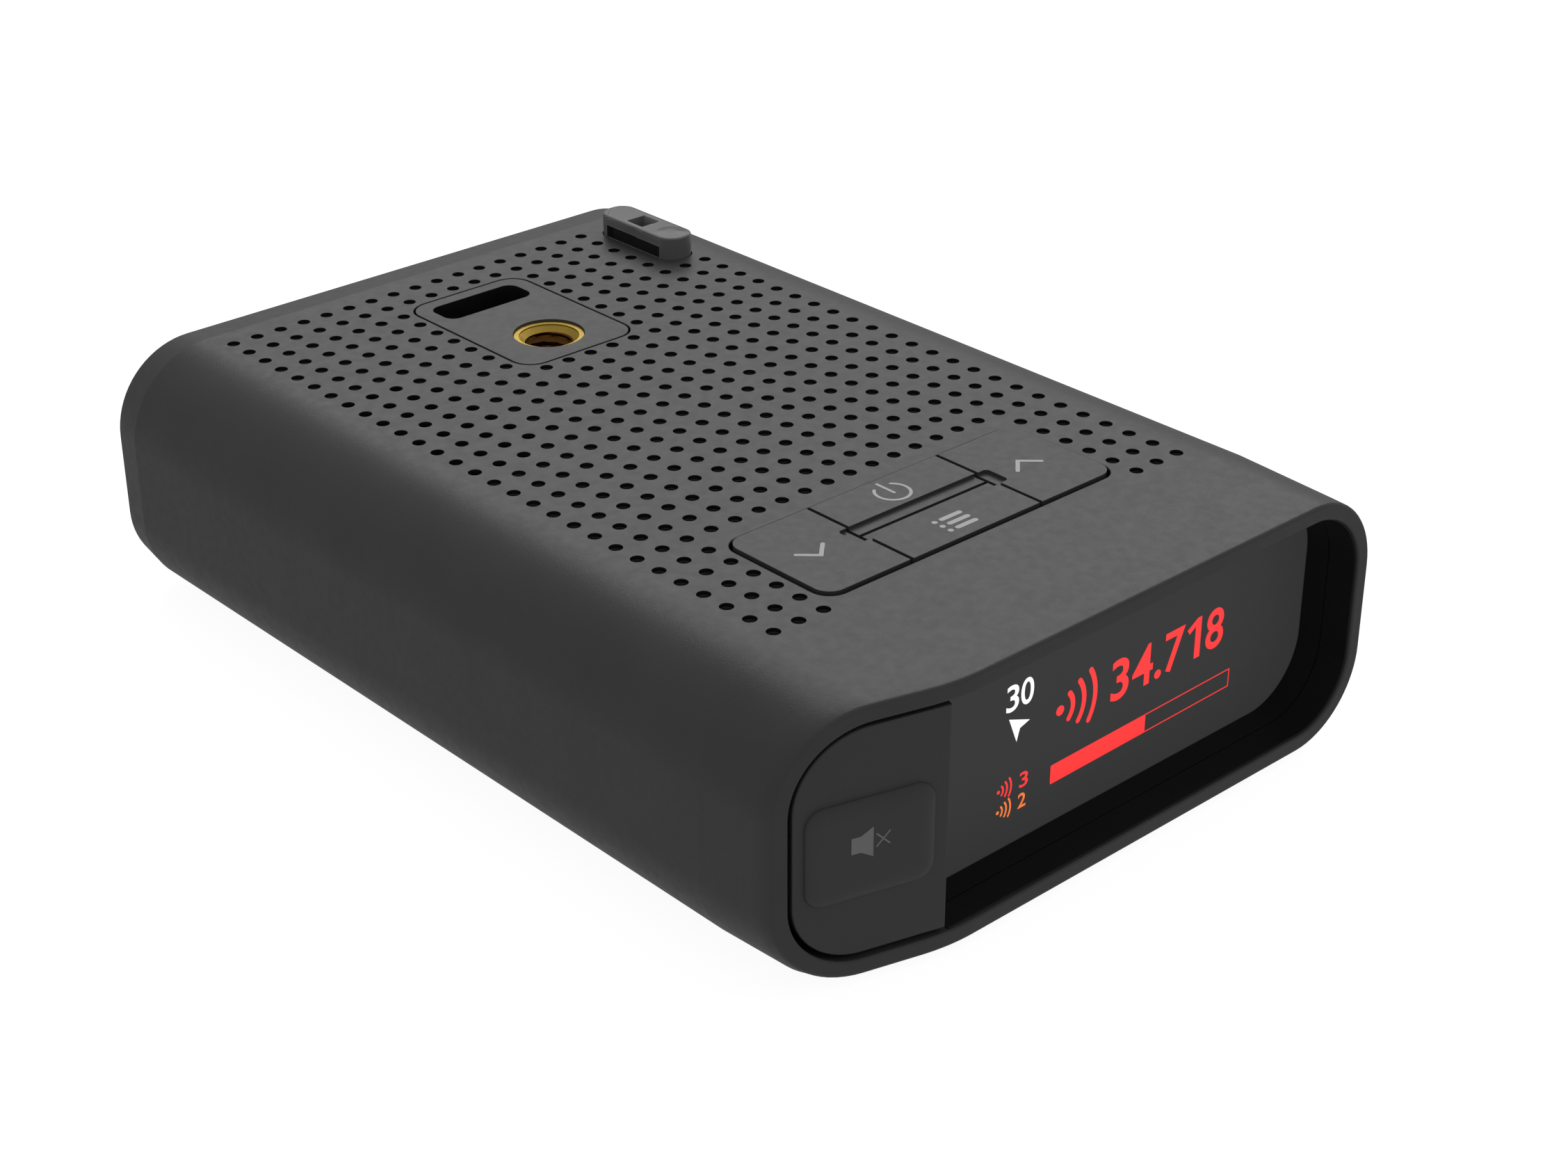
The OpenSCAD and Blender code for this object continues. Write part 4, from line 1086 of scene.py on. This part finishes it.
# ---------------------------------------------------------------- studio
def studio():
    scene = bpy.context.scene
    scene.view_settings.view_transform = "Standard"
    camera = bpy.data.objects.new("camera", bpy.data.cameras.new("camera"))
    scene.collection.objects.link(camera)
    camera.location = (-0.172447, -0.199379, 0.149287)
    look = Vector((0.59693, 0.65194, -0.46760))
    camera.rotation_euler = look.to_track_quat("-Z", "Y").to_euler()
    camera.data.lens = 62.60
    camera.data.sensor_width = 36
    camera.data.clip_start = 0.005
    scene.camera = camera

    world = bpy.data.worlds.new("studio")
    world.use_nodes = True
    world.node_tree.nodes["Background"].inputs[0].default_value = (1, 1, 1, 1)
    world.node_tree.nodes["Background"].inputs[1].default_value = 0.28
    scene.world = world

    def area(name, place, aim, size, watts):
        light = bpy.data.objects.new(name, bpy.data.lights.new(name, "AREA"))
        light.data.shape = "RECTANGLE"
        light.data.size, light.data.size_y = size
        light.data.energy = watts
        light.location = place
        light.rotation_euler = (Vector(aim) - Vector(place)).to_track_quat("-Z", "Y").to_euler()
        scene.collection.objects.link(light)
    area("panel", (0.51, 0.43, 0.74), (0, 0, 0), (1.0, 1.0), 3.4)

    mesh = bpy.data.meshes.new("floor")
    low = -0.0002
    mesh.from_pydata([(-6, -6, low), (6, -6, low), (6, 6, low), (-6, 6, low)], [], [(0, 1, 2, 3)])
    floor = bpy.data.objects.new("floor", mesh)
    scene.collection.objects.link(floor)
    paper = Shader("floor_paper", Roughness=0.9)
    paper.set("Base Color", paper.ramp(paper.noise(3, 2), [(0.3, 0.34), (0.7, 0.36)]))
    paper.bsdf.inputs["Emission Color"].default_value = (1, 1, 1, 1)
    paper.bsdf.inputs["Emission Strength"].default_value = 0.93
    see_through = paper.node("MixShader", {0: paper.node("NewGeometry").outputs["Backfacing"]})
    out = paper.bsdf.outputs[0].links[0].to_node
    paper.tree.links.new(paper.bsdf.outputs[0], see_through.inputs[1])
    paper.tree.links.new(paper.node("BsdfTransparent").outputs[0], see_through.inputs[2])
    paper.tree.links.new(see_through.outputs[0], out.inputs[0])
    mesh.materials.append(paper.mat)
    floor.visible_diffuse = False
    floor.visible_glossy = False


studio()
